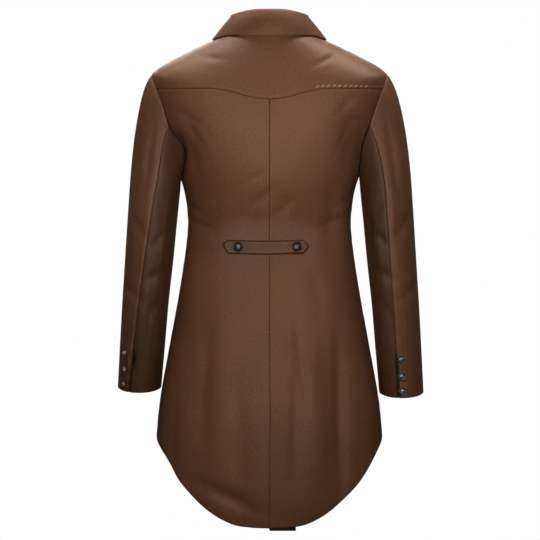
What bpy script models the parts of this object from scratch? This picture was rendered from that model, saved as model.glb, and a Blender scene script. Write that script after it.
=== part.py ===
"""A long-tailed steampunk jacket, filled out as on a wearer, with nobody in it.

Metres, +Z up. The front faces -Y and the wearer's left is +X. The origin is
the nape: the cloth at the middle of the back neck, where the wearer carries it.
Every piece of cloth is an open sheet drawn on the body form or on the sleeve
form, and Solidify gives it its wall.
"""
import bpy
import bmesh
from collections import namedtuple
from math import cos, exp, radians, sin, sqrt
from mathutils import Vector

# Cloth, and the gap between two sewn pieces
WALL = 0.0016
SEAM_GAP = 0.00038
BENT_SEAM_GAP = 0.0007      # where the cloth bends at the seam and its inner edges close in
LAP = 0.0024                # middle of one layer to the middle of the layer on it

# Back seams and the vent, as heights from the nape and widths from the middle
YOKE_HEIGHT = -0.117
YOKE_POINT = -0.0202        # how far the seam dips at the middle of the back
YOKE_POINT_WIDTH = 0.112
VENT_TOP = -0.585
UNDERLAP_HEM = -0.9522

# Armhole: an oval on the body form
ARMHOLE_MIDDLE = -0.181
ARMHOLE_HALF_HEIGHT = 0.102
ARMHOLE_HALF_ANGLE = 20.0
SIDE_ANGLE = 90.0
SHOULDER_SEAM_ANGLE = 100.0   # the yoke wraps a little over to the front

# Angles round the armhole, 0 at its back, 90 at the shoulder, 270 underarm
HIND_SEAM_START = -3.4
YOKE_CORNER = 38.9
SHOULDER_CORNER = 100.0
FRONT_SEAM_START = 217.0
UNDERARM = 270.0

# Front closing and collar
FRONT_EDGE_ANGLE = 188.0
LAP_START, LAP_END = 160.0, 172.0
COLLAR_END_ANGLE = 176.0
COLLAR_ROLL = 0.0026
COLLAR_LIFT = 0.0026
COLLAR_EDGE, COLLAR_EDGE_SIDE = -0.0175, -0.0245
COLLAR_TOP, COLLAR_TOP_SIDE = 0.0325, 0.0230
COLLAR_FRONT_STAND = 0.020
COLLAR_SEAM_ROOM, COLLAR_SEAM_ROOM_FRONT = 0.0003, 0.0009
COLLAR_FRONT_START = 60.0     # from here on round it turns into the front collar
COLLAR_TOP_SLOPE = (20.0, 95.0)     # between these angles its top falls away to the side
COLLAR_EDGE_SLOPE = (66.0, 90.0)    # and between these its edge does
COLLAR_FRONT_EDGE_LEVEL = 1.0       # level of the form that its front edge lies on
COLLAR_POINT_START = 120.0
COLLAR_POINT_CUT = 22.0       # degrees that its front end slants back
COLLAR_LEAN_BACK, COLLAR_LEAN_SIDE, COLLAR_LEAN_FRONT = 0.003, 0.0105, 0.004
COLLAR_EDGE_LIFT_BACK, COLLAR_EDGE_LIFT_FRONT = 0.0045, 0.002
COLLAR_BOW, COLLAR_BOW_SIDE = 0.004, 0.0005
COLLAR_OVER_OUT, COLLAR_OVER_DOWN = 0.00624, 0.002    # from the stand's top to the fall's

# Half belt on the back, with the heights of its middle line
BELT_LEFT, BELT_RIGHT = 0.0868, -0.0735
BELT_HALF_WIDTH = 0.0128
BELT_POINT = 0.016
BELT_MIDDLE = -0.4165
BELT_SAG = 0.002
BELT_LIFT = 0.0031
BELT_BLUNTNESS = 0.06       # how much of its width is left at the very tip

# How many steps each edge is divided into
BACK_COLUMNS = 12
YOKE_ROWS = 6
ARMHOLE_UPPER_BACK = 3
ARMHOLE_LOWER_BACK = 5
ARMHOLE_YOKE = 4
ARMHOLE_UPPER_FRONT = 7
ARMHOLE_LOWER_FRONT = 3
SIDE_ROWS = 16
ROWS_TO_VENT = 14
UNDERLAP_COLUMNS = 3.35      # columns of the back that the underlap reaches over
NECK_COLUMNS = 8
HEAD_ROWS = 6
ARM_ROWS = 12
COLLAR_COLUMNS = 44
BELT_COLUMNS = 18
BELT_ROWS = 3
BUTTON_STEPS = 14
FALL_ROWS = 4

# Small steps and distances for measuring the forms and joining their points
ANGLE_STEP = 1.0
LEVEL_STEP = 0.02
INWARD_SHARE = 0.1
ARM_STEP = 0.05
HALVINGS = 40
CLOSE = 0.00005
BUTTON_CLOSE = 0.00001

# The body form, ring by ring from the neckline down
Ring = namedtuple("Ring", "half_width side_y back_y front_y back_z side_z front_z squareness")
RINGS = (
    Ring(0.078, -0.055, 0.001, -0.115, 0.000, -0.012, -0.085, 2.0),
    Ring(0.147, -0.068, 0.019, -0.150, -0.062, -0.0425, -0.122, 2.2),
    Ring(0.215, -0.085, 0.032, -0.192, -0.122, -0.079, -0.165, 2.5),
    Ring(0.229, -0.089, 0.037, -0.210, -0.165, -0.107, -0.195, 2.5),
    Ring(0.209, -0.090, 0.038, -0.224, -0.212, -0.190, -0.232, 2.5),
    Ring(0.170, -0.090, 0.028, -0.230, -0.285, -0.285, -0.285, 2.4),
    Ring(0.1580, -0.090, 0.011, -0.222, -0.335, -0.335, -0.335, 2.35),
    Ring(0.1555, -0.089, -0.002, -0.210, -0.380, -0.380, -0.380, 2.3),
    Ring(0.1610, -0.088, 0.002, -0.208, -0.435, -0.435, -0.435, 2.3),
    Ring(0.1740, -0.087, 0.016, -0.216, -0.517, -0.517, -0.517, 2.3),
    Ring(0.1910, -0.086, 0.029, -0.228, -0.610, -0.610, -0.610, 2.3),
    Ring(0.2070, -0.086, 0.037, -0.238, -0.700, -0.700, -0.700, 2.35),
    Ring(0.2145, -0.086, 0.042, -0.246, -0.770, -0.770, -0.770, 2.4),
    Ring(0.2190, -0.086, 0.045, -0.250, -0.860, -0.860, -0.860, 2.4),
    Ring(0.2230, -0.086, 0.047, -0.252, -0.970, -0.970, -0.970, 2.4),
)

# The hem rises from the tail to the front corner
HemPoint = namedtuple("HemPoint", "angle height")
HEM = (
    HemPoint(0.0, -0.9480),
    HemPoint(15.0, -0.9465),
    HemPoint(30.0, -0.9395),
    HemPoint(45.0, -0.9140),
    HemPoint(60.0, -0.8665),
    HemPoint(75.0, -0.8030),
    HemPoint(90.0, -0.7720),
    HemPoint(120.0, -0.7150),
    HemPoint(150.0, -0.6600),
    HemPoint(172.0, -0.6150),
    HemPoint(188.0, -0.5750),
)

# Largest folds of the body: a trough has a negative depth, a ridge a positive one
Fold = namedtuple("Fold", "angle height half_length half_width depth slant")
BODY_FOLDS = (
    Fold(-22.0, -0.730, 0.120, 0.012, -0.0030, 3.0),
    Fold(-34.0, -0.790, 0.140, 0.018, 0.0030, 2.0),
    Fold(-47.0, -0.760, 0.140, 0.016, -0.0045, -2.0),
    Fold(-70.0, -0.700, 0.110, 0.022, 0.0030, 0.0),
    Fold(24.0, -0.800, 0.120, 0.020, -0.0025, -3.0),
    Fold(38.0, -0.760, 0.140, 0.022, 0.0030, 0.0),
    Fold(55.0, -0.780, 0.150, 0.020, -0.0045, 2.0),
    Fold(74.0, -0.680, 0.110, 0.022, 0.0030, 0.0),
    Fold(12.0, -0.305, 0.050, 0.009, -0.0018, 38.0),
    Fold(-16.0, -0.330, 0.045, 0.009, -0.0015, -40.0),
    Fold(58.0, -0.235, 0.050, 0.014, -0.0055, 8.0),
    Fold(-58.0, -0.215, 0.055, 0.015, -0.0065, -8.0),
    Fold(66.0, -0.385, 0.016, 0.050, -0.0020, 6.0),
    Fold(-66.0, -0.380, 0.016, 0.050, -0.0020, -6.0),
    Fold(122.0, -0.235, 0.060, 0.016, -0.0055, -10.0),
    Fold(-122.0, -0.235, 0.060, 0.016, -0.0055, 10.0),
    Fold(150.0, -0.420, 0.080, 0.016, -0.0025, 24.0),
    Fold(-150.0, -0.420, 0.080, 0.016, -0.0025, -24.0),
    Fold(118.0, -0.620, 0.110, 0.020, -0.0040, 3.0),
    Fold(-118.0, -0.620, 0.110, 0.020, -0.0040, -3.0),
    Fold(140.0, -0.580, 0.090, 0.018, 0.0025, 4.0),
    Fold(-140.0, -0.580, 0.090, 0.018, 0.0025, -4.0),
)
BODY_REACH = 0.16           # metres of cloth for a radian of the body form

# The sleeve below its head; hind_seam is the seam's angle out from the back
Section = namedtuple("Section", "height centre_x centre_y half_width half_depth hind_seam")
SLEEVE = (
    Section(-0.310, 0.2190, -0.0900, 0.0480, 0.0680, -3.0),
    Section(-0.366, 0.2238, -0.0915, 0.0470, 0.0660, 3.0),
    Section(-0.442, 0.2300, -0.0950, 0.0457, 0.0620, 10.0),
    Section(-0.518, 0.2368, -0.1020, 0.0439, 0.0575, 16.0),
    Section(-0.594, 0.2424, -0.1120, 0.0428, 0.0530, 21.0),
    Section(-0.684, 0.2490, -0.1270, 0.0412, 0.0475, 28.0),
)
CUFF_TILT = 0.011           # the cuff's back edge hangs this much lower
HEAD_REACH = 0.9            # how far the sleeve sets off towards its first section
HEAD_SWELL_OUT, HEAD_SWELL_UP = 0.06, 0.12
RIGHT_SLEEVE_LONGER, RIGHT_SLEEVE_OUT, RIGHT_SLEEVE_WIDER = 0.010, 0.004, 0.0008
RIGHT_HIND_SEAM = (-3.0, -8.5)      # the right sleeve is turned less, at its top and cuff
SLEEVE_FOLDS = (
    Fold(20.0, -0.300, 0.045, 0.010, -0.0022, 30.0),
    Fold(-25.0, -0.345, 0.040, 0.010, -0.0022, -35.0),
    Fold(-20.0, -0.470, 0.030, 0.012, -0.0022, 65.0),
    Fold(35.0, -0.505, 0.030, 0.012, -0.0018, -60.0),
    Fold(175.0, -0.455, 0.030, 0.012, -0.0030, 85.0),
    Fold(185.0, -0.500, 0.030, 0.011, -0.0026, 80.0),
    Fold(160.0, -0.330, 0.045, 0.010, -0.0022, 20.0),
)
SLEEVE_REACH = 0.055

# Buttons: outlines of half of each, from the middle of the face to the back
Turn = namedtuple("Turn", "radius height")
BUTTON_OUTLINE = (
    Turn(0.00, 0.42),
    Turn(0.38, 0.38),
    Turn(0.66, 0.28),
    Turn(0.78, 0.22),
    Turn(0.88, 0.30),
    Turn(1.00, 0.24),
    Turn(1.00, 0.16),
    Turn(0.84, 0.10),
    Turn(0.34, 0.10),
    Turn(0.34, 0.00),
    Turn(0.00, 0.00),
)
LARGE_BUTTON = 0.0100       # radius of the belt and front buttons
CUFF_BUTTON = 0.0075
BUTTON_SEAT = 0.0005        # from the cloth's face to the end of the shank
BELT_BUTTONS = ((0.0587, "half_belt_button_left"), (-0.0515, "half_belt_button_right"))
FRONT_BUTTONS = 5
FRONT_BUTTON_TOP = -0.146
FRONT_BUTTON_STEP = 0.084
CUFF_BUTTON_HEIGHTS = (0.058, 0.036, 0.014)
CUFF_BUTTON_ANGLE = {1: 47.0, -1: 3.0}

CLOTH_COLOUR = (0.130, 0.066, 0.036)
UNDERSIDE_COLOUR = (0.090, 0.045, 0.026)
METAL_COLOUR = (0.300, 0.290, 0.270)
CLOTH_ROUGHNESS = 0.8
METAL_ROUGHNESS = 0.4


# Reading the tables

def curve_value(before, here, after, beyond, share):
    """A smooth curve through four evenly spaced values, read between the middle two."""
    rise_here = (after - before) / 2
    rise_after = (beyond - here) / 2
    square, cube = share * share, share * share * share
    return (
        (2 * cube - 3 * square + 1) * here
        + (cube - 2 * square + share) * rise_here
        + (3 * square - 2 * cube) * after
        + (cube - square) * rise_after
    )


def read_row(rows, level):
    """A row of a table at a level between its rows, 0 being the first."""
    last = len(rows) - 1
    index = min(max(int(level), 0), last - 1)
    picked = [rows[min(max(index + step, 0), last)] for step in (-1, 0, 1, 2)]
    values = [curve_value(*four, level - index) for four in zip(*picked)]
    return type(rows[0])(*values)


def row_level(rows, key):
    """The level at which the table's first column has this value."""
    low, high = 0.0, len(rows) - 1.0
    rising = rows[-1][0] > rows[0][0]
    for _ in range(HALVINGS):
        middle = (low + high) / 2
        if (read_row(rows, middle)[0] < key) == rising:
            low = middle
        else:
            high = middle
    return (low + high) / 2


def mix(first, second, share):
    return first + (second - first) * share


def ramp(start, end, value):
    """0 before the start and 1 after the end, with a soft rise between."""
    share = min(max((value - start) / (end - start), 0.0), 1.0)
    return share * share * (3 - 2 * share)


def fold_depth(folds, angle, height, reach):
    """How far the folds push the cloth out at this place."""
    total = 0.0
    for fold in folds:
        lean = radians(fold.slant)
        side = radians(angle - fold.angle) * reach
        rise = height - fold.height
        across = (side * cos(lean) + rise * sin(lean)) / fold.half_width
        along = (rise * cos(lean) - side * sin(lean)) / fold.half_length
        total += fold.depth * exp(-across * across - along * along)
    return total


# The body form: angle 0 is the middle of the back, 90 the left side, 180 the front

def form(angle, level):
    """A point of the body form, without its folds."""
    ring = read_row(RINGS, level)
    sine, cosine = sin(radians(angle)), cos(radians(angle))
    if cosine >= 0:
        depth, end_z = ring.back_y - ring.side_y, ring.back_z
    else:
        depth, end_z = ring.side_y - ring.front_y, ring.front_z
    power = ring.squareness
    reach = (abs(sine / ring.half_width) ** power + abs(cosine / depth) ** power) ** (-1 / power)
    height = mix(ring.side_z, end_z, cosine * cosine)
    return Vector((reach * sine, ring.side_y + reach * cosine, height))


def form_normal(angle, level):
    """The way out of the body form."""
    round_it = form(angle + ANGLE_STEP, level) - form(angle - ANGLE_STEP, level)
    above = max(level - LEVEL_STEP, 0.0)
    down_it = form(angle, level + LEVEL_STEP) - form(angle, above)
    return round_it.cross(down_it).normalized()


def body_cloth(place, lift=0.0):
    """The cloth at an angle and a level, moved out by lift."""
    angle, level = place
    point = form(angle, level)
    depth = fold_depth(BODY_FOLDS, angle, point.z, BODY_REACH)
    return point + form_normal(angle, level) * (depth + lift)


def level_at(angle, height):
    """The level at which the form reaches this height."""
    low, high = 0.0, len(RINGS) - 1.0
    for _ in range(HALVINGS):
        middle = (low + high) / 2
        if form(angle, middle).z > height:
            low = middle
        else:
            high = middle
    return (low + high) / 2


def back_place(x, height):
    """The angle and level of a point on the back, from its width and height."""
    low, high = -SIDE_ANGLE, SIDE_ANGLE
    for _ in range(HALVINGS):
        angle = (low + high) / 2
        if form(angle, level_at(angle, height)).x < x:
            low = angle
        else:
            high = angle
    return angle, level_at(angle, height)


# Seams and edges of the body, for one side: side is 1 on the left, -1 on the right

def spread(start, end, steps):
    """Evenly spaced values from the start to the end."""
    return [mix(start, end, step / steps) for step in range(steps + 1)]


def chain(*runs):
    """Runs joined end to end, each one starting where the last one ends."""
    joined = list(runs[0])
    for run in runs[1:]:
        joined += run[1:]
    return joined


def armhole_place(turn, side):
    angle = SIDE_ANGLE - ARMHOLE_HALF_ANGLE * cos(radians(turn))
    height = ARMHOLE_MIDDLE + ARMHOLE_HALF_HEIGHT * sin(radians(turn))
    return side * angle, level_at(angle, height)


def armhole_run(start, end, steps, side):
    return [armhole_place(turn, side) for turn in spread(start, end, steps)]


def yoke_seam(side):
    """From the middle of the back to the armhole, with a shallow point at the middle."""
    end_angle, end_level = armhole_place(YOKE_CORNER, 1)
    run = []
    for angle in spread(0.0, end_angle, BACK_COLUMNS):
        width = form(angle, level_at(angle, YOKE_HEIGHT)).x
        dip = YOKE_POINT * (1 - ramp(0.0, YOKE_POINT_WIDTH, width))
        run.append((side * angle, level_at(angle, YOKE_HEIGHT + dip)))
    run[-1] = (side * end_angle, end_level)
    return run


def hem_place(angle, side):
    height = read_row(HEM, row_level(HEM, angle)).height
    return side * angle, level_at(angle, height)


def shoulder_seam(side):
    """From the neckline to the armhole."""
    end_angle, end_level = armhole_place(SHOULDER_CORNER, 1)
    angles = spread(SHOULDER_SEAM_ANGLE, end_angle, YOKE_ROWS)
    return [(side * a, level) for a, level in zip(angles, spread(0.0, end_level, YOKE_ROWS))]


def middle_back(side):
    """Down the back seam to the top of the vent, then down the vent's edge."""
    top = YOKE_HEIGHT + YOKE_POINT
    vent_rows = len(armhole_back(side)) - 1 + SIDE_ROWS - ROWS_TO_VENT
    heights = chain(
        spread(top, VENT_TOP, ROWS_TO_VENT),
        spread(VENT_TOP, HEM[0].height, vent_rows),
    )
    return [(0.0, level_at(0.0, height)) for height in heights]


def armhole_back(side):
    return chain(
        armhole_run(YOKE_CORNER, HIND_SEAM_START, ARMHOLE_UPPER_BACK, side),
        armhole_run(HIND_SEAM_START, UNDERARM - 360, ARMHOLE_LOWER_BACK, side),
    )


def armhole_front(side):
    return chain(
        armhole_run(SHOULDER_CORNER, FRONT_SEAM_START, ARMHOLE_UPPER_FRONT, side),
        armhole_run(FRONT_SEAM_START, UNDERARM, ARMHOLE_LOWER_FRONT, side),
    )


def side_seam(side):
    top = armhole_place(UNDERARM, 1)[1]
    end = hem_place(SIDE_ANGLE, 1)[1]
    return [(side * SIDE_ANGLE, level) for level in spread(top, end, SIDE_ROWS)]


def patch(top, bottom, left, right):
    """Places inside four edges, row by row, blended from the edges."""
    rows, columns = len(left) - 1, len(top) - 1
    grid = []
    for row in range(rows + 1):
        down = row / rows
        line = []
        for column in range(columns + 1):
            along = column / columns
            place = []
            for part in (0, 1):
                edges = mix(top[column][part], bottom[column][part], down)
                edges += mix(left[row][part], right[row][part], along)
                upper = mix(top[0][part], top[-1][part], along)
                lower = mix(bottom[0][part], bottom[-1][part], along)
                place.append(edges - mix(upper, lower, down))
            line.append(tuple(place))
        grid.append(line)
    return grid


# Making the pieces

def finish(name, colour, roughness, metallic):
    material = bpy.data.materials.new(name)
    material.use_nodes = True
    shader = material.node_tree.nodes["Principled BSDF"]
    shader.inputs["Base Color"].default_value = (*colour, 1.0)
    shader.inputs["Roughness"].default_value = roughness
    shader.inputs["Metallic"].default_value = metallic
    return material


def add_piece(name, mesh, colour, roughness=CLOTH_ROUGHNESS, metallic=0.0):
    piece = bpy.data.objects.new(name, mesh)
    mesh.materials.append(finish(name + "_finish", colour, roughness, metallic))
    jacket.objects.link(piece)
    return piece


def open_seams(grid, gap=SEAM_GAP):
    """Draws every edge in by half the seam gap."""
    half = gap / 2
    rows, columns = len(grid) - 1, len(grid[0]) - 1
    drawn = [list(line) for line in grid]
    for line_out, line in zip(drawn, grid):
        line_out[0] = line[0] + (line[1] - line[0]).normalized() * half
        line_out[columns] = line[columns] + (line[-2] - line[columns]).normalized() * half
    for column in range(columns + 1):
        drawn[0][column] += (grid[1][column] - grid[0][column]).normalized() * half
        drawn[rows][column] += (grid[-2][column] - grid[rows][column]).normalized() * half
    return drawn


def add_sheet(bm, grid):
    """A flat grid moved point by point onto the given places."""
    rows, columns = len(grid) - 1, len(grid[0]) - 1
    made = bmesh.ops.create_grid(bm, x_segments=columns, y_segments=rows, size=0.5)
    for vert in made["verts"]:
        column = round((vert.co.x + 0.5) * columns)
        row = round((0.5 - vert.co.y) * rows)
        vert.co = grid[row][column]


def cloth_piece(name, grids, colour=CLOTH_COLOUR):
    """One cut piece: its sheets are joined where their edges meet, then given a wall."""
    bm = bmesh.new()
    for grid in grids:
        add_sheet(bm, grid)
    bmesh.ops.remove_doubles(bm, verts=bm.verts, dist=CLOSE)
    bmesh.ops.recalc_face_normals(bm, faces=bm.faces)
    mesh = bpy.data.meshes.new(name)
    bm.to_mesh(mesh)
    bm.free()
    mesh.shade_smooth()
    piece = add_piece(name, mesh, colour)
    solid = piece.modifiers.new("Wall", "SOLIDIFY")
    solid.thickness = WALL
    solid.offset = 0.0
    return piece


def button(name, place, axis, radius):
    """A domed metal button turned round its own axis."""
    mesh = bpy.data.meshes.new(name)
    outline = [(turn.radius * radius, 0.0, turn.height * radius) for turn in BUTTON_OUTLINE]
    mesh.from_pydata(outline, [(i, i + 1) for i in range(len(outline) - 1)], [])
    piece = add_piece(name, mesh, METAL_COLOUR, METAL_ROUGHNESS, 1.0)
    turned = piece.modifiers.new("Turned", "SCREW")
    turned.axis = "Z"
    turned.steps = turned.render_steps = BUTTON_STEPS
    turned.use_merge_vertices = True
    turned.merge_threshold = BUTTON_CLOSE
    turned.use_smooth_shade = True
    piece.location = place
    piece.rotation_mode = "QUATERNION"
    piece.rotation_quaternion = axis.to_track_quat("Z", "Y")
    return piece


# Back, yoke and front

def yoke():
    left_bottom = chain(
        armhole_run(SHOULDER_CORNER, YOKE_CORNER, ARMHOLE_YOKE, 1),
        yoke_seam(1)[::-1],
    )
    right_bottom = chain(
        yoke_seam(-1),
        armhole_run(YOKE_CORNER, SHOULDER_CORNER, ARMHOLE_YOKE, -1),
    )
    bottom = chain(left_bottom, right_bottom)
    angles = spread(SHOULDER_SEAM_ANGLE, -SHOULDER_SEAM_ANGLE, len(bottom) - 1)
    neck = [(angle, 0.0) for angle in angles]
    places = patch(neck, bottom, shoulder_seam(1), shoulder_seam(-1))
    grid = [[body_cloth(place) for place in line] for line in places]
    cloth_piece("yoke", [open_seams(grid)])


def back_places(side):
    """Angle and level of every grid point of one half of the back."""
    bottom = [hem_place(angle, side) for angle in spread(0.0, SIDE_ANGLE, BACK_COLUMNS)]
    outer = chain(armhole_back(side), side_seam(side))
    return patch(yoke_seam(side), bottom, middle_back(side), outer)


def back(name, side, under):
    """Half of the back; the half that lies under at the vent carries the underlap."""
    grid = open_seams([[body_cloth(place) for place in line] for line in back_places(side)])
    grids = [grid]
    if under:
        underlap = underlap_grid(side)
        for row, line in enumerate(underlap):
            grid[ROWS_TO_VENT + row][0] = line[0]
        grids.append(underlap)
    cloth_piece(name, grids)


def underlap_grid(side):
    """The strip that goes on past the middle, behind the other half of the back."""
    whole_columns = int(UNDERLAP_COLUMNS)
    part_column = UNDERLAP_COLUMNS - whole_columns
    lines = []
    for line in back_places(-side)[ROWS_TO_VENT:]:
        last, following = line[whole_columns], line[whole_columns + 1]
        end = (mix(last[0], following[0], part_column), mix(last[1], following[1], part_column))
        lines.append(line[:whole_columns + 1] + [end])
    lines[-1] = [(angle, level_at(angle, UNDERLAP_HEM)) for angle, _ in lines[-1]]
    return [[body_cloth(place, -LAP) for place in line] for line in lines]


def front(name, side, lift):
    """One front, from the armhole and side seam to its free edge past the middle."""
    neck_angles = spread(SHOULDER_SEAM_ANGLE, FRONT_EDGE_ANGLE, NECK_COLUMNS)
    top = chain(shoulder_seam(side)[::-1], [(side * angle, 0.0) for angle in neck_angles])
    hem_angles = spread(SIDE_ANGLE, FRONT_EDGE_ANGLE, len(top) - 1)
    bottom = [hem_place(angle, side) for angle in hem_angles]
    outer = chain(armhole_front(side), side_seam(side))
    edge_levels = spread(0.0, bottom[-1][1], len(outer) - 1)
    edge = [(side * FRONT_EDGE_ANGLE, level) for level in edge_levels]
    places = patch(top, bottom, outer, edge)
    grid = []
    for line in places:
        lifts = [lift * ramp(LAP_START, LAP_END, abs(angle)) for angle, _ in line]
        grid.append([body_cloth(place, rise) for place, rise in zip(line, lifts)])
    cloth_piece(name, [open_seams(grid)])


# Sleeves

def sleeve_section(depth, side):
    """The sleeve's sizes at a share of the way from the biceps to the cuff."""
    section = read_row(SLEEVE, depth * (len(SLEEVE) - 1))
    if side > 0:
        return section
    return section._replace(
        height=section.height - RIGHT_SLEEVE_LONGER * depth,
        centre_x=section.centre_x + RIGHT_SLEEVE_OUT,
        half_width=section.half_width + RIGHT_SLEEVE_WIDER,
        hind_seam=mix(*RIGHT_HIND_SEAM, depth),
    )


def sleeve_point(turn, depth, side, lift=0.0):
    """A point of the sleeve below its head, at a turn round it and a share down it."""
    section = sleeve_section(depth, side)
    sine, cosine = sin(radians(turn)), cos(radians(turn))
    height = section.height - CUFF_TILT * depth * depth * cosine
    wide = section.half_width
    deep = section.half_depth
    fold = fold_depth(SLEEVE_FOLDS, (turn + 90) % 360 - 90, height, SLEEVE_REACH)
    out = Vector((sine / wide, cosine / deep, 0.0)).normalized() * (fold + lift)
    x = section.centre_x + wide * sine + out.x
    return Vector((side * x, section.centre_y + deep * cosine + out.y, height))


def head_start(turn, side, ring_point):
    """Where the sleeve's head begins, clear of the armhole's edge, and the way it sets off."""
    angle, level = armhole_place(turn, 1)
    _, middle_level = armhole_place(0.0, 1)
    edge = body_cloth((side * angle, level))
    inward = (mix(angle, SIDE_ANGLE, INWARD_SHARE), mix(level, middle_level, INWARD_SHARE))
    across = (body_cloth((side * inward[0], inward[1])) - edge).normalized()
    height_share = (1 + sin(radians(turn))) / 2
    swell = Vector((side * HEAD_SWELL_OUT, 0.0, HEAD_SWELL_UP)) * height_share ** 2
    way = (ring_point - edge) * HEAD_REACH + swell
    bend = across.angle(way)
    turned = 1 - cos(bend)
    outward = form_normal(side * angle, level)
    aside = (across + way.normalized() + outward * turned).normalized()
    room = BENT_SEAM_GAP + WALL * min(1.0, sin(bend / 2) / max(cos(bend / 2), 0.01))
    return edge + aside * room, way


def sleeve_columns():
    """Turns at the armhole, all round from the hind seam over the shoulder and back."""
    return chain(
        spread(HIND_SEAM_START, YOKE_CORNER, ARMHOLE_UPPER_BACK),
        spread(YOKE_CORNER, SHOULDER_CORNER, ARMHOLE_YOKE),
        spread(SHOULDER_CORNER, FRONT_SEAM_START, ARMHOLE_UPPER_FRONT),
        spread(FRONT_SEAM_START, UNDERARM, ARMHOLE_LOWER_FRONT),
        spread(UNDERARM, HIND_SEAM_START + 360, ARMHOLE_LOWER_BACK),
    )


def column_turn(turn, depth, side):
    """A column's turn further down, as the hind seam works its way outward."""
    hind = sleeve_section(depth, side).hind_seam
    if turn <= FRONT_SEAM_START:
        share = (turn - HIND_SEAM_START) / (FRONT_SEAM_START - HIND_SEAM_START)
        return mix(hind, FRONT_SEAM_START, share)
    share = (turn - FRONT_SEAM_START) / (HIND_SEAM_START + 360 - FRONT_SEAM_START)
    return mix(FRONT_SEAM_START, hind + 360, share)


def sleeve_line(turn, side):
    """One line of the sleeve from the armhole to the cuff."""
    ring_point = sleeve_point(column_turn(turn, 0.0, side), 0.0, side)
    below = sleeve_point(column_turn(turn, ARM_STEP, side), ARM_STEP, side)
    start, way = head_start(turn, side, ring_point)
    arrive = (below - ring_point).normalized() * (ring_point - start).length
    line = []
    for row in range(HEAD_ROWS):
        share = row / HEAD_ROWS
        square, cube = share * share, share ** 3
        line.append(
            start * (2 * cube - 3 * square + 1)
            + way * (cube - 2 * square + share)
            + ring_point * (3 * square - 2 * cube)
            + arrive * (cube - square)
        )
    for depth in spread(0.0, 1.0, ARM_ROWS):
        line.append(sleeve_point(column_turn(turn, depth, side), depth, side))
    return line


def sleeve(word, side):
    turns = sleeve_columns()
    upper_columns = ARMHOLE_UPPER_BACK + ARMHOLE_YOKE + ARMHOLE_UPPER_FRONT
    cuts = (
        ("upper_sleeve_", turns[:upper_columns + 1], CLOTH_COLOUR),
        ("under_sleeve_", turns[upper_columns:], UNDERSIDE_COLOUR),
    )
    for start, columns, colour in cuts:
        lines = [sleeve_line(turn, side) for turn in columns]
        grid = open_seams([list(line) for line in zip(*lines)], BENT_SEAM_GAP)
        cloth_piece(start + word, [grid], colour)


def cuff_buttons(word, side):
    length = SLEEVE[0].height - SLEEVE[-1].height
    for number, above in enumerate(CUFF_BUTTON_HEIGHTS, start=1):
        depth = 1 - above / length
        here = sleeve_point(CUFF_BUTTON_ANGLE[side], depth, side)
        out = sleeve_point(CUFF_BUTTON_ANGLE[side], depth, side, CUFF_BUTTON) - here
        base = here + out.normalized() * (WALL / 2 + BUTTON_SEAT)
        button(f"cuff_button_{word}_{number}", base, out, CUFF_BUTTON)


# Collar, half belt and buttons

def collar():
    """One folded piece: the stand up from the neckline, the roll, and the fall over it."""
    angles = spread(COLLAR_END_ANGLE, -COLLAR_END_ANGLE, COLLAR_COLUMNS)
    lines = [collar_line(angle) for angle in angles]
    cloth_piece("collar", [[list(row) for row in zip(*lines)]])


def collar_line(angle):
    """The collar's section at one angle round the neck."""
    turn = abs(angle)
    side = 1 if angle >= 0 else -1
    out = form_normal(angle, 0.0)
    away = Vector((out.x, out.y, 0.0)).normalized()
    up = Vector((0.0, 0.0, 1.0))
    frontness = ramp(COLLAR_FRONT_START, COLLAR_END_ANGLE, turn)
    sideness = sin(radians(min(turn, SIDE_ANGLE))) ** 2

    lap_room = (WALL / 2 + LAP / 2 * ramp(LAP_START, LAP_END, turn)) * out.z
    seam_room = mix(COLLAR_SEAM_ROOM, COLLAR_SEAM_ROOM_FRONT, frontness)
    foot = form(angle, 0.0) + up * (SEAM_GAP + lap_room + seam_room)
    back_top = mix(COLLAR_TOP, COLLAR_TOP_SIDE, ramp(*COLLAR_TOP_SLOPE, turn))
    back_stand = back_top - COLLAR_ROLL - form(min(turn, SIDE_ANGLE), 0.0).z
    stand = mix(back_stand, COLLAR_FRONT_STAND, ramp(SIDE_ANGLE, COLLAR_END_ANGLE, turn))
    lean = mix(mix(COLLAR_LEAN_BACK, COLLAR_LEAN_SIDE, sideness), COLLAR_LEAN_FRONT, frontness)
    top = foot + up * stand - away * lean

    over = top + away * COLLAR_OVER_OUT - up * COLLAR_OVER_DOWN
    back_height = mix(COLLAR_EDGE, COLLAR_EDGE_SIDE, ramp(*COLLAR_EDGE_SLOPE, turn))
    back_level = level_at(min(turn, SIDE_ANGLE), back_height)
    edge_level = mix(back_level, COLLAR_FRONT_EDGE_LEVEL, ramp(SIDE_ANGLE, LAP_END, turn))
    cut_back = COLLAR_POINT_CUT * ramp(COLLAR_POINT_START, COLLAR_END_ANGLE, turn)
    edge_lift = mix(COLLAR_EDGE_LIFT_BACK, COLLAR_LIFT, sideness) + COLLAR_EDGE_LIFT_FRONT * frontness
    edge = body_cloth((side * (turn - cut_back), edge_level), edge_lift)

    line = [foot, mix(foot, top, 0.5), top, top + (away + up) * COLLAR_ROLL]
    for share in spread(0.0, 1.0, FALL_ROWS):
        bow = mix(COLLAR_BOW, COLLAR_BOW_SIDE, sideness) * share * (1 - share) * 4
        line.append(mix(over, edge, share) + away * bow + up * (bow / 2))
    return line


def belt_middle(x):
    share = (x - BELT_RIGHT) / (BELT_LEFT - BELT_RIGHT)
    return BELT_MIDDLE - BELT_SAG * 4 * share * (1 - share)


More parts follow.
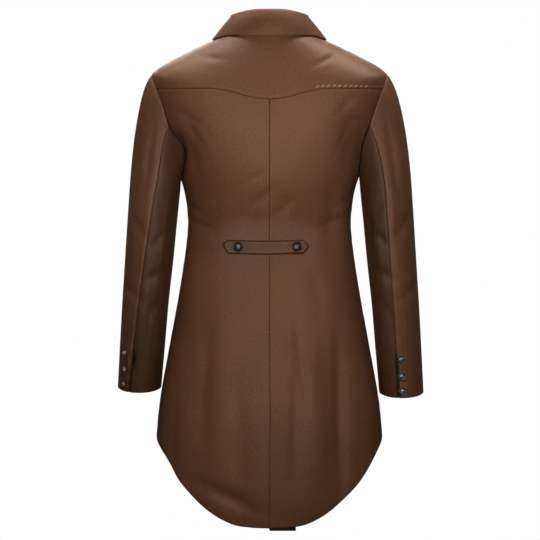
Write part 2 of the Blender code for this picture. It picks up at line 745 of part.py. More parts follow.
def half_belt():
    """A strap with a point at each end, lying on the small of the back."""
    lines = []
    for x in spread(BELT_LEFT, BELT_RIGHT, BELT_COLUMNS):
        from_end = min(BELT_LEFT - x, x - BELT_RIGHT)
        wide = BELT_HALF_WIDTH * sqrt(min(1.0, BELT_BLUNTNESS + from_end / BELT_POINT))
        heights = spread(belt_middle(x) + wide, belt_middle(x) - wide, BELT_ROWS)
        lines.append([body_cloth(back_place(x, height), BELT_LIFT) for height in heights])
    cloth_piece("half_belt", [[list(row) for row in zip(*lines)]])


def belt_buttons():
    for x, name in BELT_BUTTONS:
        place = back_place(x, belt_middle(x))
        base = body_cloth(place, BELT_LIFT + WALL / 2 + BUTTON_SEAT)
        button(name, base, form_normal(*place), LARGE_BUTTON)


def front_buttons():
    for number in range(FRONT_BUTTONS):
        height = FRONT_BUTTON_TOP - FRONT_BUTTON_STEP * number
        place = (180.0, level_at(180.0, height))
        base = body_cloth(place, LAP / 2 + WALL / 2 + BUTTON_SEAT)
        button(f"front_button_{number + 1}", base, form_normal(*place), LARGE_BUTTON)


for leftover in list(bpy.data.objects):
    bpy.data.objects.remove(leftover, do_unlink=True)
jacket = bpy.data.collections.new("steampunk_jacket")
bpy.context.scene.collection.children.link(jacket)

yoke()
back("back_left", 1, True)
back("back_right", -1, False)
front("front_left", 1, LAP / 2)
front("front_right", -1, -LAP / 2)
collar()
for word, side in (("left", 1), ("right", -1)):
    sleeve(word, side)
    cuff_buttons(word, side)
half_belt()
belt_buttons()
front_buttons()
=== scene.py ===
"""The looks of a long-tailed steampunk jacket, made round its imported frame.

Metres, +Z up, the nape at the origin, the front facing -Y and the wearer's
left at +X. Every cut piece of cloth is a fine sheet drawn on the same body and
sleeve forms as the frame, with the creases, seams, stitches and weave on it.
"""
from collections import namedtuple

import bmesh
import bpy
import numpy as np
from mathutils import Matrix, Vector


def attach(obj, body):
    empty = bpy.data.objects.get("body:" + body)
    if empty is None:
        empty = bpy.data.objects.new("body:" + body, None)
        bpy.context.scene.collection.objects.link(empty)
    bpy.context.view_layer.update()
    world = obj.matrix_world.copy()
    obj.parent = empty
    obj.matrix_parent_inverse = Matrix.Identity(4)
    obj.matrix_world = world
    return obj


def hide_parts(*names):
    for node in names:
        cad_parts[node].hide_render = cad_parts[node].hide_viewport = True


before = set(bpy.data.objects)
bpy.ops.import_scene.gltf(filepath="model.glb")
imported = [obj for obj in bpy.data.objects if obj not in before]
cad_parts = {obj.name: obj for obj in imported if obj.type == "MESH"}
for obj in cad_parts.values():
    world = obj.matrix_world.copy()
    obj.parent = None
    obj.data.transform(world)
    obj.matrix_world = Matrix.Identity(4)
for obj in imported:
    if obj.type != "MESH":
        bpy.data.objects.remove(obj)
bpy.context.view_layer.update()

# Cloth
WALL = 0.0013
LAP = 0.0024                # middle of one layer to the middle of the layer on it
FRAME_HALF_WALL = 0.0008    # from the middle of the frame's cloth to its face
FRAME_SEAM_GAP = 0.00038
SEAM_GAP = 0.0008
BENT_SEAM_GAP = 0.0003
SEAM_DROP = 0.0005          # how far the cloth rolls in at a seam
SEAM_ROLL = 0.0018
ALLOWANCE_IN, ALLOWANCE_BACK = 0.0032, 0.0010   # a seam allowance, in and back under its sheet
FACING_IN, FACING_BACK = 0.0008, 0.0034         # the same at a free edge, where it lies flat
HEAD_ALLOWANCE_ACROSS = 0.0022                  # a sleeve head's allowance reaches under the body
PUCKER = 0.00022
PUCKER_REACH = 0.014
RIPPLES = (236.0, 151.0, 37.0)  # short, middling and long waves of puckers, in radians a metre
RIPPLE_PHASES = (1.0, 2.3, 1.7)
RIPPLE_SHARES = (0.7, 0.6, 0.4)
LARGEST_DRAW = 0.7          # the most an edge is drawn in, as a share of the step next to it
HEM_DEPTH = 0.022
HEM_LIFT = 0.0021

# Seams and edges, as heights from the nape, widths from the middle, and angles
YOKE_HEIGHT = -0.117
YOKE_POINT = -0.0202
YOKE_POINT_WIDTH = 0.112
YOKE_SEAM_WEIGHT = 0.55
VENT_TOP = -0.585
VENT_OPENING = 0.045        # the length over which the halves part
VENT_STEP = 0.004           # the length over which the under half dips
VENT_FLAT = 0.020           # how far from the middle they come level again
VENT_GAPE, VENT_GAPE_HEIGHT, VENT_GAPE_LENGTH, VENT_GAPE_REACH = 0.0022, -0.735, 0.060, 0.018
UNDERLAP_HEM = -0.9522
UNDERLAP_DROP = (0.75, 1.0)  # the share of its length over which it reaches below the hem
ARMHOLE_MIDDLE = -0.181
ARMHOLE_HALF_HEIGHT = 0.102
ARMHOLE_HALF_ANGLE = 20.0
SIDE_ANGLE = 90.0
SHOULDER_SEAM_ANGLE = 100.0
HIND_SEAM_START = -3.4
YOKE_CORNER = 38.9
SHOULDER_CORNER = 100.0
FRONT_SEAM_START = 217.0
UNDERARM = 270.0
FRONT_EDGE_ANGLE = 188.0
LAP_START, LAP_END = 160.0, 172.0

# Collar
COLLAR_WALL = 0.0016
COLLAR_END_ANGLE = 176.0
COLLAR_ROLL = 0.0026
COLLAR_LIFT = 0.0026
COLLAR_EDGE, COLLAR_EDGE_SIDE = -0.0175, -0.0245
COLLAR_TOP, COLLAR_TOP_SIDE = 0.0325, 0.0230
COLLAR_FRONT_STAND = 0.020
COLLAR_SEAM_ROOM, COLLAR_SEAM_ROOM_FRONT = 0.0003, 0.0009
COLLAR_FRONT_START = 60.0
COLLAR_TOP_SLOPE = (20.0, 95.0)
COLLAR_EDGE_SLOPE = (66.0, 90.0)
COLLAR_FRONT_EDGE_LEVEL = 1.0
COLLAR_POINT_START = 120.0
COLLAR_POINT_CUT = 22.0
COLLAR_LEAN_BACK, COLLAR_LEAN_SIDE, COLLAR_LEAN_FRONT = 0.003, 0.0105, 0.004
COLLAR_EDGE_LIFT_BACK, COLLAR_EDGE_LIFT_FRONT = 0.0045, 0.002
COLLAR_BOW, COLLAR_BOW_SIDE = 0.004, 0.0005
COLLAR_OVER_OUT, COLLAR_OVER_DOWN = 0.00624, 0.002
COLLAR_STAND_ROWS = (0.33, 0.66)
COLLAR_ROLL_ROWS = ((0.25, 0.75), (1.0, 1.0), (1.85, 0.55))     # out and up, in rolls
COLLAR_FALL_ROWS = (0.0, 0.12, 0.25, 0.4, 0.55, 0.7, 0.82, 0.91, 0.97, 1.0)
COLLAR_FALL_START = 8       # the fall's second row, clear of the roll

# Half belt
BELT_LEFT, BELT_RIGHT = 0.0868, -0.0735
BELT_HALF_WIDTH = 0.0128
BELT_POINT = 0.0105
BELT_SLANT = 0.35           # how far the left end's tip rises, as a share of the width lost
BELT_MIDDLE = -0.4165
BELT_SAG = 0.002
BELT_LIFT = 0.0031
BELT_END_LIFT, BELT_END_LENGTH = 0.0024, 0.026
BELT_BLUNTNESS = 0.06
BELT_WALL = 0.0024
BELT_COLUMNS, BELT_ROWS = 110, 14
BELT_ROUND, BELT_ROUND_DROP = 0.0022, 0.0007        # the width of its rounded edge, and its dip
# Painted shadow along the belt's edge: how far in it reaches, and its share of the distance from the
# ends
BELT_EDGE_SHADOW, BELT_EDGE_SHADOW_SPREAD = 0.0012, 0.7     # how far its edge is darkened
BELT_STITCH_COLUMN = 14     # columns left without stitches at each end

# Steps of each edge, each divided again into FINE
FINE = 6
BACK_COLUMNS = 12
YOKE_ROWS = 6
SIDE_ROWS = 16
ROWS_TO_VENT = 14
UNDERLAP_COLUMNS = 20
NECK_COLUMNS = 8
HEAD_ROWS = 6
ARM_ROWS = 12
COLLAR_COLUMNS = 260
EDGE_LINES = (0.25, 0.55)   # extra lines of points close to every edge, in steps

# Parts of the armhole: the turns round it where each starts and ends, and its steps
ARMHOLE_UPPER_BACK = (HIND_SEAM_START, YOKE_CORNER, 3)
ARMHOLE_YOKE = (YOKE_CORNER, SHOULDER_CORNER, 4)
ARMHOLE_UPPER_FRONT = (SHOULDER_CORNER, FRONT_SEAM_START, 7)
ARMHOLE_LOWER_FRONT = (FRONT_SEAM_START, UNDERARM, 3)
ARMHOLE_LOWER_BACK = (UNDERARM, HIND_SEAM_START + 360, 5)

# Small steps for measuring the forms
ANGLE_STEP = 1.0
LEVEL_STEP = 0.02
INWARD_SHARE = 0.1
ARM_STEP = 0.05
HALVINGS = 36
CLOSE = 0.00002


def table(kind, *rows):
    return [kind(*row) for row in rows]


# The body form, ring by ring from the neckline down
Ring = namedtuple("Ring", "half_width side_y back_y front_y back_z side_z front_z squareness")
RINGS = table(
    Ring,
    (0.078, -0.055, 0.001, -0.115, 0, -0.012, -0.085, 2),
    (0.147, -0.068, 0.019, -0.15, -0.062, -0.0425, -0.122, 2.2),
    (0.215, -0.085, 0.032, -0.192, -0.122, -0.079, -0.165, 2.5),
    (0.229, -0.089, 0.037, -0.21, -0.165, -0.107, -0.195, 2.5),
    (0.209, -0.09, 0.038, -0.224, -0.212, -0.19, -0.232, 2.5),
    (0.17, -0.09, 0.028, -0.23, -0.285, -0.285, -0.285, 2.4),
    (0.158, -0.09, 0.011, -0.222, -0.335, -0.335, -0.335, 2.35),
    (0.1555, -0.089, -0.002, -0.21, -0.38, -0.38, -0.38, 2.3),
    (0.161, -0.088, 0.002, -0.208, -0.435, -0.435, -0.435, 2.3),
    (0.174, -0.087, 0.016, -0.216, -0.517, -0.517, -0.517, 2.3),
    (0.191, -0.086, 0.029, -0.228, -0.61, -0.61, -0.61, 2.3),
    (0.207, -0.086, 0.037, -0.238, -0.7, -0.7, -0.7, 2.35),
    (0.2145, -0.086, 0.042, -0.246, -0.77, -0.77, -0.77, 2.4),
    (0.219, -0.086, 0.045, -0.25, -0.86, -0.86, -0.86, 2.4),
    (0.223, -0.086, 0.047, -0.252, -0.97, -0.97, -0.97, 2.4),
)
BODY_MIDDLE = (0.0, -0.090)
NECK_MIDDLE = (0.0, -0.06)
SIDES = (("left", 1), ("right", -1))

# The hem rises from the tail to the front corner
HemPoint = namedtuple("HemPoint", "angle height")
HEM = table(
    HemPoint,
    (0, -0.948),
    (15, -0.9465),
    (30, -0.9395),
    (45, -0.914),
    (60, -0.8665),
    (75, -0.803),
    (90, -0.772),
    (120, -0.715),
    (150, -0.66),
    (172, -0.615),
    (188, -0.575),
)

# Folds: a trough has a negative depth, a ridge a positive one, and the slant turns it from
# upright. The place is an angle for a large fold, and for the creases of the back and the front
# a width as seen square on. Skew makes one flank of a crease sharper than the other.
Fold = namedtuple("Fold", "place height half_length half_width depth slant skew", defaults=(0.0,))
BODY_FOLDS = table(
    Fold,
    (-22, -0.73, 0.12, 0.012, -0.003, 3),
    (-34, -0.79, 0.14, 0.018, 0.003, 2),
    (-47, -0.76, 0.14, 0.016, -0.0045, -2),
    (-70, -0.7, 0.11, 0.022, 0.003, 0),
    (24, -0.8, 0.12, 0.02, -0.0025, -3),
    (38, -0.76, 0.14, 0.022, 0.003, 0),
    (55, -0.78, 0.15, 0.02, -0.0045, 2),
    (74, -0.68, 0.11, 0.022, 0.003, 0),
    (12, -0.305, 0.05, 0.009, -0.0018, 38),
    (-16, -0.33, 0.045, 0.009, -0.0015, -40),
    (58, -0.235, 0.05, 0.014, -0.0055, 8),
    (-58, -0.215, 0.055, 0.015, -0.0065, -8),
    (66, -0.385, 0.016, 0.05, -0.002, 6),
    (-66, -0.38, 0.016, 0.05, -0.002, -6),
    (122, -0.235, 0.06, 0.016, -0.0055, -10),
    (-122, -0.235, 0.06, 0.016, -0.0055, 10),
    (150, -0.42, 0.08, 0.016, -0.0025, 24),
    (-150, -0.42, 0.08, 0.016, -0.0025, -24),
    (118, -0.62, 0.11, 0.02, -0.004, 3),
    (-118, -0.62, 0.11, 0.02, -0.004, -3),
    (140, -0.58, 0.09, 0.018, 0.0025, 4),
    (-140, -0.58, 0.09, 0.018, 0.0025, -4),
)
BODY_REACH = np.radians(0.16)   # metres round the body for each degree, as folds are measured
SIDE_BLEND = 0.1            # where the back's creases give way to the front's, as a cosine
BACK_CREASES = table(
    Fold,
    (0.107, -0.058, 0.028, 0.006, -0.0014, -82, 0.5),
    (-0.111, -0.059, 0.028, 0.006, -0.0032, 62, -0.6),
    (0.179, -0.24, 0.037, 0.017, -0.023, -6),
    (-0.166, -0.176, 0.026, 0.006, -0.0034, -88, 0.7),
    (-0.176, -0.222, 0.042, 0.018, -0.009, 6),
    (0.027, -0.287, 0.04, 0.008, -0.002, 58, 0.3),
    (0.013, -0.322, 0.03, 0.007, -0.0018, 52, -0.3),
    (-0.026, -0.346, 0.03, 0.007, -0.0016, 50, 0.3),
    (-0.064, -0.655, 0.065, 0.008, -0.0036, -8, 0.4),
    (-0.052, -0.6, 0.024, 0.007, -0.0012, 40, 0.2),
    (-0.137, -0.73, 0.13, 0.013, -0.0085, -2, 0.4),
    (-0.12, -0.35, 0.055, 0.016, -0.0045, 4),
    (0, -0.985, 0.3, 0.07, -0.016, -90),
    (-0.1, -0.8, 0.04, 0.014, 0.002, -4),
    (-0.014, -0.735, 0.012, 0.005, -0.001, -80),
    (0.072, -0.89, 0.056, 0.014, -0.008, -68, 0.3),
    (0.034, -0.902, 0.02, 0.01, 0.003, -74),
    (0.186, -0.8, 0.08, 0.016, -0.006, 4),
    (0.12, -0.7, 0.11, 0.014, -0.003, 3, 0.3),
    (0.06, -0.52, 0.07, 0.012, -0.001, 14, 0.3),
    (-0.09, -0.5, 0.07, 0.011, -0.001, -16, -0.3),
    (0.15, -0.172, 0.026, 0.006, -0.0024, -58, 0.4),
    (0.14, -0.205, 0.03, 0.0065, -0.0022, -34, 0.4),
    (-0.142, -0.15, 0.028, 0.006, -0.0022, 46, -0.4),
    (-0.136, -0.215, 0.03, 0.0065, -0.002, 28, -0.4),
    (0.152, -0.335, 0.028, 0.007, -0.0024, -52, 0.4),
    (-0.146, -0.325, 0.028, 0.007, -0.0022, 50, -0.4),
    (0.128, -0.375, 0.03, 0.006, -0.002, -70, 0.4),
    (-0.126, -0.368, 0.03, 0.006, -0.002, 72, 0.4),
    (0.118, -0.425, 0.028, 0.006, -0.001, -100, -0.4),
    (-0.116, -0.43, 0.026, 0.006, -0.001, 98, -0.4),
)
FRONT_CREASES = table(
    Fold,
    (0.12, -0.21, 0.042, 0.008, -0.0018, -24, 0.4),
    (-0.126, -0.205, 0.038, 0.007, -0.0016, 22, -0.4),
    (0.08, -0.395, 0.04, 0.007, -0.0014, -76, 0.3),
    (-0.086, -0.388, 0.042, 0.007, -0.0014, 72, 0.3),
    (0.055, -0.3, 0.045, 0.008, -0.001, -40, 0.2),
    (-0.06, -0.285, 0.04, 0.008, -0.001, 44, 0.2),
    (0.075, -0.52, 0.065, 0.01, -0.0014, -10, 0.3),
    (-0.07, -0.535, 0.06, 0.011, -0.0014, 8, -0.3),
)

# The sleeve below its head; hind_seam is the seam's angle out from the back
Section = namedtuple("Section", "height centre_x centre_y half_width half_depth hind_seam")
SLEEVE = table(
    Section,
    (-0.31, 0.219, -0.09, 0.048, 0.068, -3),
    (-0.366, 0.2238, -0.0915, 0.047, 0.066, 3),
    (-0.442, 0.23, -0.095, 0.0457, 0.062, 10),
    (-0.518, 0.2368, -0.102, 0.0439, 0.0575, 16),
    (-0.594, 0.2424, -0.112, 0.0428, 0.053, 21),
    (-0.684, 0.249, -0.127, 0.0412, 0.0475, 28),
)
SLEEVE_MIDDLE = (0.235, -0.100)
CUFF_TILT = 0.011
HEAD_REACH = 0.9
HEAD_SWELL_OUT, HEAD_SWELL_UP = 0.06, 0.12
RIGHT_SLEEVE_LONGER, RIGHT_SLEEVE_OUT, RIGHT_SLEEVE_WIDER = 0.010, 0.004, 0.0008
RIGHT_HIND_SEAM = (-3.0, -8.5)
SLEEVE_FOLDS = table(
    Fold,
    (20, -0.3, 0.045, 0.01, -0.0022, 30),
    (-25, -0.345, 0.04, 0.01, -0.0022, -35),
    (-20, -0.47, 0.03, 0.01, -0.0034, 65),
    (35, -0.505, 0.03, 0.01, -0.0028, -60),
    (-24, -0.4, 0.03, 0.009, -0.003, 48),
    (30, -0.38, 0.032, 0.009, -0.0024, -40),
    (-30, -0.53, 0.026, 0.008, -0.0022, 40),
    (175, -0.455, 0.03, 0.012, -0.003, 85),
    (185, -0.5, 0.03, 0.011, -0.0026, 80),
    (160, -0.33, 0.045, 0.01, -0.0022, 20),
    (-34, -0.4, 0.09, 0.009, 0.002, 4),
    (-58, -0.43, 0.1, 0.01, -0.003, -3),
    (-14, -0.56, 0.08, 0.008, -0.0018, 3),
    (-42, -0.6, 0.06, 0.01, 0.0018, 0),
    (48, -0.42, 0.09, 0.012, 0.0014, 2),
    (60, -0.56, 0.07, 0.01, -0.0018, -3),
)
LEFT_CUFF_FOLDS = table(
    Fold,
    (22, -0.632, 0.009, 0.007, -0.008, 10),
    (31, -0.614, 0.018, 0.006, 0.0044, 16),
    (12, -0.606, 0.008, 0.011, 0.0016, -40),
    (40, -0.655, 0.005, 0.01, -0.0024, 0),
    (40, -0.678, 0.005, 0.01, -0.0024, 0),
)
RIGHT_CUFF_FOLDS = table(
    Fold,
    (8, -0.652, 0.005, 0.016, -0.0028, 14),
    (9, -0.676, 0.005, 0.017, -0.0028, 12),
    (9, -0.64, 0.005, 0.015, 0.0014, 16),
)
SLEEVE_REACH = np.radians(0.055)
CUFF_VENT_TOP = -0.606
CUFF_VENT_DEPTH, CUFF_VENT_OPENING = 2.6, 0.02      # how much deeper than a seam, and how soon
CUFF_VENT_SHADOW, CUFF_SHADOW_OPENING = 0.0030, 0.03    # the width of its shadow, and how soon
# The pinch on the left cuff: its height, its length, and how much wider the painted shadow grows
# there
CUFF_PINCH, CUFF_PINCH_LENGTH, CUFF_PINCH_SHADOW = -0.634, 0.008, 0.9

# Buttons
LARGE_BUTTON = 0.0100
CUFF_BUTTON = 0.0075
BUTTON_SEAT = 0.0005
BELT_BUTTONS = ((0.0587, -0.12, "half_belt_button_left"), (-0.0515, 0.0, "half_belt_button_right"))
BELT_BUTTON_SHINE = 0.62
CUFF_BUTTON_DOME = 1.3
FRONT_BUTTONS = 5
FRONT_BUTTON_TOP = -0.146
FRONT_BUTTON_STEP = 0.084
CUFF_BUTTON_HEIGHTS = (0.058, 0.036, 0.014)
CUFF_BUTTON_ANGLE = {1: 47.0, -1: 3.0}


# Arithmetic on whole arrays of points

def mix(first, second, share):
    return first + (second - first) * share


def ramp(start, end, value):
    """0 before the start and 1 after the end, with a soft rise between."""
    share = np.clip((value - start) / (end - start), 0.0, 1.0)
    return share * share * (3 - 2 * share)


def unit(ways):
    return ways / np.maximum(np.linalg.norm(ways, axis=-1, keepdims=True), 1e-12)


def spread(start, end, steps):
    return np.linspace(start, end, steps + 1)


def chain(*runs):
    """Runs joined end to end, each one starting where the last one ends."""
    return np.concatenate([runs[0]] + [run[1:] for run in runs[1:]])


def curve(start, way, end, arrive, share):
    """A smooth run from start to end, by the ways it sets off and arrives."""
    square, cube = share ** 2, share ** 3
    return (
        start * (2 * cube - 3 * square + 1)
        + way * (cube - 2 * square + share)
        + end * (3 * square - 2 * cube)
        + arrive * (cube - square)
    )


def read_table(rows, level):
    """Every column of a table at levels between its rows, along a smooth curve."""
    rows = np.array(rows, dtype=float)
    level = np.asarray(level, dtype=float)
    last = len(rows) - 1
    index = np.clip(level.astype(int), 0, last - 1)
    share = (level - index)[..., None]
    before, here, after, beyond = (rows[np.clip(index + step, 0, last)] for step in (-1, 0, 1, 2))
    return np.moveaxis(curve(here, (after - before) / 2, after, (beyond - here) / 2, share), -1, 0)


def solve(rising, target, low, high):
    """Where a rising function reaches each target between low and high."""
    target = np.asarray(target, dtype=float)
    low = np.full(target.shape, float(low))
    high = np.full(target.shape, float(high))
    for _ in range(HALVINGS):
        middle = (low + high) / 2
        short = rising(middle) < target
        low = np.where(short, middle, low)
        high = np.where(short, high, middle)
    return (low + high) / 2


# Body form: angle 0 is the middle of the back, 90 the left side, 180 the front

def form(angle, level):
    """Points of the body form, without its folds."""
    angle, level = np.broadcast_arrays(angle, level)
    half_width, side_y, back_y, front_y, back_z, side_z, front_z, power = read_table(RINGS, level)
    sine, cosine = np.sin(np.radians(angle)), np.cos(np.radians(angle))
    at_back = cosine >= 0
    depth = np.where(at_back, back_y - side_y, side_y - front_y)
    end_z = np.where(at_back, back_z, front_z)
    reach = (abs(sine / half_width) ** power + abs(cosine / depth) ** power) ** (-1 / power)
    height = mix(side_z, end_z, cosine ** 2)
    return np.stack([reach * sine, side_y + reach * cosine, height], axis=-1)


def form_normal(angle, level):
    """The way out of the body form."""
    round_it = form(angle + ANGLE_STEP, level) - form(angle - ANGLE_STEP, level)
    above = np.maximum(level - LEVEL_STEP, 0.0)
    down_it = form(angle, level + LEVEL_STEP) - form(angle, above)
    return unit(np.cross(round_it, down_it))


def level_at(angle, height):
    """The level at which the form reaches a height."""
    angle, height = np.broadcast_arrays(np.asarray(angle, float), np.asarray(height, float))
    return solve(lambda level: -form(angle, level)[..., 2], -height, 0.0, len(RINGS) - 1.0)


def back_place(x, height):
    """Angle and level of a point on the back, from its width and height."""
    x, height = np.broadcast_arrays(np.asarray(x, float), np.asarray(height, float))
    angle = solve(
        lambda guess: form(guess, level_at(guess, height))[..., 0], x, -SIDE_ANGLE, SIDE_ANGLE
    )
    return np.stack([angle, level_at(angle, height)], axis=-1)


def fold_depth(folds, place, height, reach=1.0):
    """How far folds push the cloth out. reach is the metres in one step of place."""
    total = np.zeros(np.broadcast(place, height).shape)
    for fold in folds:
        slant = np.radians(fold.slant)
        side, rise = (place - fold.place) * reach, height - fold.height
        across = (side * np.cos(slant) + rise * np.sin(slant)) / fold.half_width
        along = (rise * np.cos(slant) - side * np.sin(slant)) / fold.half_length
        total += fold.depth * (1 + fold.skew * across) * np.exp(-across ** 2 - along ** 2)
    return total


def body_cloth(places, lift=0.0, fine=True):
    """Cloth at an array of angles and levels, moved out by lift."""
    angle, level = places[..., 0], places[..., 1]
    points = form(angle, level)
    x, height = points[..., 0], points[..., 2]
    out = fold_depth(BODY_FOLDS, angle, height, BODY_REACH) + lift
    if fine:
        at_back = ramp(-SIDE_BLEND, SIDE_BLEND, np.cos(np.radians(angle)))
        out = out + at_back * fold_depth(BACK_CREASES, x, height)
        out = out + (1 - at_back) * fold_depth(FRONT_CREASES, x, height)
    return points + form_normal(angle, level) * out[..., None]


# Seams and edges of the left half of the body, as arrays of angle and level

def pairs(angle, level):
    return np.stack(np.broadcast_arrays(angle, level), axis=-1)


def armhole_place(turn):
    angle = SIDE_ANGLE - ARMHOLE_HALF_ANGLE * np.cos(np.radians(turn))
    height = ARMHOLE_MIDDLE + ARMHOLE_HALF_HEIGHT * np.sin(np.radians(turn))
    return pairs(angle, level_at(angle, height))


def turns_along(*parts):
    """Turns round the armhole, step by step along its parts."""
    return chain(*(spread(start, end, steps * FINE) for start, end, steps in parts))


def yoke_seam():
    """From the middle of the back to the armhole, with a shallow point at the middle."""
    end = armhole_place(YOKE_CORNER)
    angle = spread(0.0, end[0], BACK_COLUMNS * FINE)
    width = form(angle, level_at(angle, YOKE_HEIGHT))[..., 0]
    height = YOKE_HEIGHT + YOKE_POINT * (1 - ramp(0.0, YOKE_POINT_WIDTH, width))
    run = pairs(angle, level_at(angle, height))
    run[-1] = end
    return run


def hem_run(start, end, steps):
    angle = spread(start, end, steps)
    row = solve(lambda level: read_table(HEM, level)[0], angle, 0.0, len(HEM) - 1.0)
    return pairs(angle, level_at(angle, read_table(HEM, row)[1]))


def shoulder_seam():
    end = armhole_place(SHOULDER_CORNER)
    return np.linspace((SHOULDER_SEAM_ANGLE, 0.0), end, YOKE_ROWS * FINE + 1)


def armhole_back():
    return armhole_place(turns_along(ARMHOLE_LOWER_BACK, ARMHOLE_UPPER_BACK)[::-1])


def side_seam():
    top = armhole_place(UNDERARM)
    end = hem_run(SIDE_ANGLE, SIDE_ANGLE, 1)[0]
    return pairs(SIDE_ANGLE, spread(top[1], end[1], SIDE_ROWS * FINE))


def middle_back():
    """Down the back seam to the top of the vent, then down the vent's edge."""
    rows = len(armhole_back()) - 1 + SIDE_ROWS * FINE
    seam_rows = ROWS_TO_VENT * FINE
    heights = chain(
        spread(YOKE_HEIGHT + YOKE_POINT, VENT_TOP, seam_rows),
        spread(VENT_TOP, HEM[0].height, rows - seam_rows),
    )
    return pairs(0.0, level_at(0.0, heights))


def patch(top, bottom, left, right):
    """Places inside four edges, blended from them: rows run down, columns across."""
    along = np.linspace(0, 1, len(top))[None, :, None]
    down = np.linspace(0, 1, len(left))[:, None, None]
    across = mix(left[:, None], right[:, None], along)
    upright = mix(top[None], bottom[None], down)
    corners = mix(mix(top[0], top[-1], along), mix(bottom[0], bottom[-1], along), down)
    return across + upright - corners


def near_edges(grid):
    """Adds lines of points close to every edge, where the cloth rolls in."""
    for axis in (0, 1):
        grid = np.moveaxis(grid, axis, 0)
        first = [mix(grid[0], grid[1], share) for share in EDGE_LINES]
        last = [mix(grid[-1], grid[-2], share) for share in EDGE_LINES[::-1]]
        grid = np.concatenate([grid[:1], first, grid[1:-1], last, grid[-1:]])
        grid = np.moveaxis(grid, 0, axis)
    return grid


# Relief of one sheet: its grid of points, its way out, and how it lies in the weave

# shade is how strongly painted shadow darkens a whole sheet
Sheet = namedtuple("Sheet", "points out weave seam turned shade", defaults=(0.0,))
EDGES = ("left", "right", "top", "bottom")


def way_out(points, middle):
    """The way out of each point of a grid, and whether its rows and columns turn it inside out."""
    across, down = np.gradient(points, axis=1), np.gradient(points, axis=0)
    way = unit(np.cross(down, across))
    away = points[..., :2] - np.array(middle)
    inside_out = np.sum(way[..., :2] * away) < 0
    return (-way if inside_out else way), inside_out


def edge_distances(points):
    """How far each point lies from the four edges, along the lines of the grid."""
    across = np.linalg.norm(np.diff(points, axis=1), axis=2)
    down = np.linalg.norm(np.diff(points, axis=0), axis=2)
    from_left = np.pad(np.cumsum(across, axis=1), ((0, 0), (1, 0)))
    from_top = np.pad(np.cumsum(down, axis=0), ((1, 0), (0, 0)))
    return {
        "left": from_left,
        "right": from_left[:, -1:] - from_left,
        "top": from_top,
        "bottom": from_top[-1:] - from_top,
    }


def ripple(distance, phase):
    """An uneven wave along a seam, as stitches gather the cloth."""
    short, middle, long = (
        np.sin(distance * wave + phase * share) for wave, share in zip(RIPPLES, RIPPLE_PHASES)
    )
    middle_share, steady, swing = RIPPLE_SHARES
    return (short + middle_share * middle) * (steady + swing * long)


def relief(points, middle, seams, phase=0.0, grain=None, gap=SEAM_GAP):
    """A sheet with its seams opened and rolled in. seams gives each sewn edge's weight."""
    points = drawn_in(points, gap)
    distance = edge_distances(points)
    out, inside_out = way_out(points, middle)
    rise = np.zeros(points.shape[:2])
    nearest = np.full(points.shape[:2], 1.0)
    for edge, weight in seams.items():
        upright = edge in ("left", "right")
        along = distance["top"] if upright else distance["left"]
        weight = np.asarray(weight, dtype=float)
        if weight.ndim:
            weight = weight[:, None] if upright else weight[None, :]
        here = distance[edge]
        rise -= weight * SEAM_DROP * np.exp(-(here / SEAM_ROLL) ** 2)
        rise += weight * PUCKER * np.exp(-here / PUCKER_REACH) * ripple(along, phase)
        nearest = np.minimum(nearest, here + 1 - np.minimum(weight, 1))
    points = points + out * rise[..., None]
    column = points.shape[1] // 2 if grain is None else grain
    weave = np.stack([distance["left"] - distance["left"][:, [column]], -distance["top"]], axis=-1)
    return Sheet(points, out, weave, nearest, inside_out)


def drawn_in(points, gap):
    """Every edge moved in by half the seam gap."""
    drawn = points.copy()
    for edge in EDGES:
        line, inner = edge_first(points, edge)[:2]
        step = np.linalg.norm(inner - line, axis=-1, keepdims=True)
        edge_first(drawn, edge)[0] += unit(inner - line) * np.minimum(gap / 2, step * LARGEST_DRAW)
    return drawn


def edge_first(grid, edge):
    """The grid turned so that its first row is the named edge, and the rows lead inwards."""
    if edge in ("left", "right"):
        grid = np.swapaxes(grid, 0, 1)
    return grid[::-1] if edge in ("right", "bottom") else grid


def edge_back(grid, edge):
    """The way back from edge_first."""
    grid = grid[::-1] if edge in ("right", "bottom") else grid
    return np.swapaxes(grid, 0, 1) if edge in ("left", "right") else grid


def grown(sheet, edge, *added):
    """The sheet with more points, ways out, weave and seam beyond one edge, outermost first."""
    grids = (
        edge_back(np.concatenate([more, edge_first(grid, edge)]), edge)
        for more, grid in zip(added, sheet)
    )
    return Sheet(*grids, *sheet[4:])


def turned_in(sheet, edges, back=ALLOWANCE_BACK):
    """One more line at each named edge, bent inside: deep at a seam, flat where its weight is 0."""
    for edge, weight in edges.items():
        points, out, weave, seam = (edge_first(grid, edge) for grid in sheet[:4])
        weight = np.asarray(weight, dtype=float)[..., None]
        inward = unit(points[1] - points[0])
        line = points[0] + inward * mix(FACING_BACK, back, weight)
        line = line - out[0] * mix(FACING_IN, ALLOWANCE_IN, weight)
        beyond = weave[0] + unit(weave[0] - weave[1]) * ALLOWANCE_IN
        sheet = grown(sheet, edge, line[None], out[:1], beyond[None], seam[:1])
    return sheet


def line_inside(sheet, edge, inset):
    """Places and ways out along a line a little inside one edge of a sheet."""
    points, out = edge_first(sheet.points, edge), edge_first(sheet.out, edge)
    reach = np.cumsum(np.linalg.norm(np.diff(points, axis=0), axis=2), axis=0)
    row, column = np.argmax(reach > inset, axis=0), np.arange(points.shape[1])
    before = np.where(row > 0, reach[row - 1, column], 0.0)
    share = ((inset - before) / (reach[row, column] - before))[:, None]
    return np.stack([mix(grid[row, column], grid[row + 1, column], share) for grid in (points, out)])


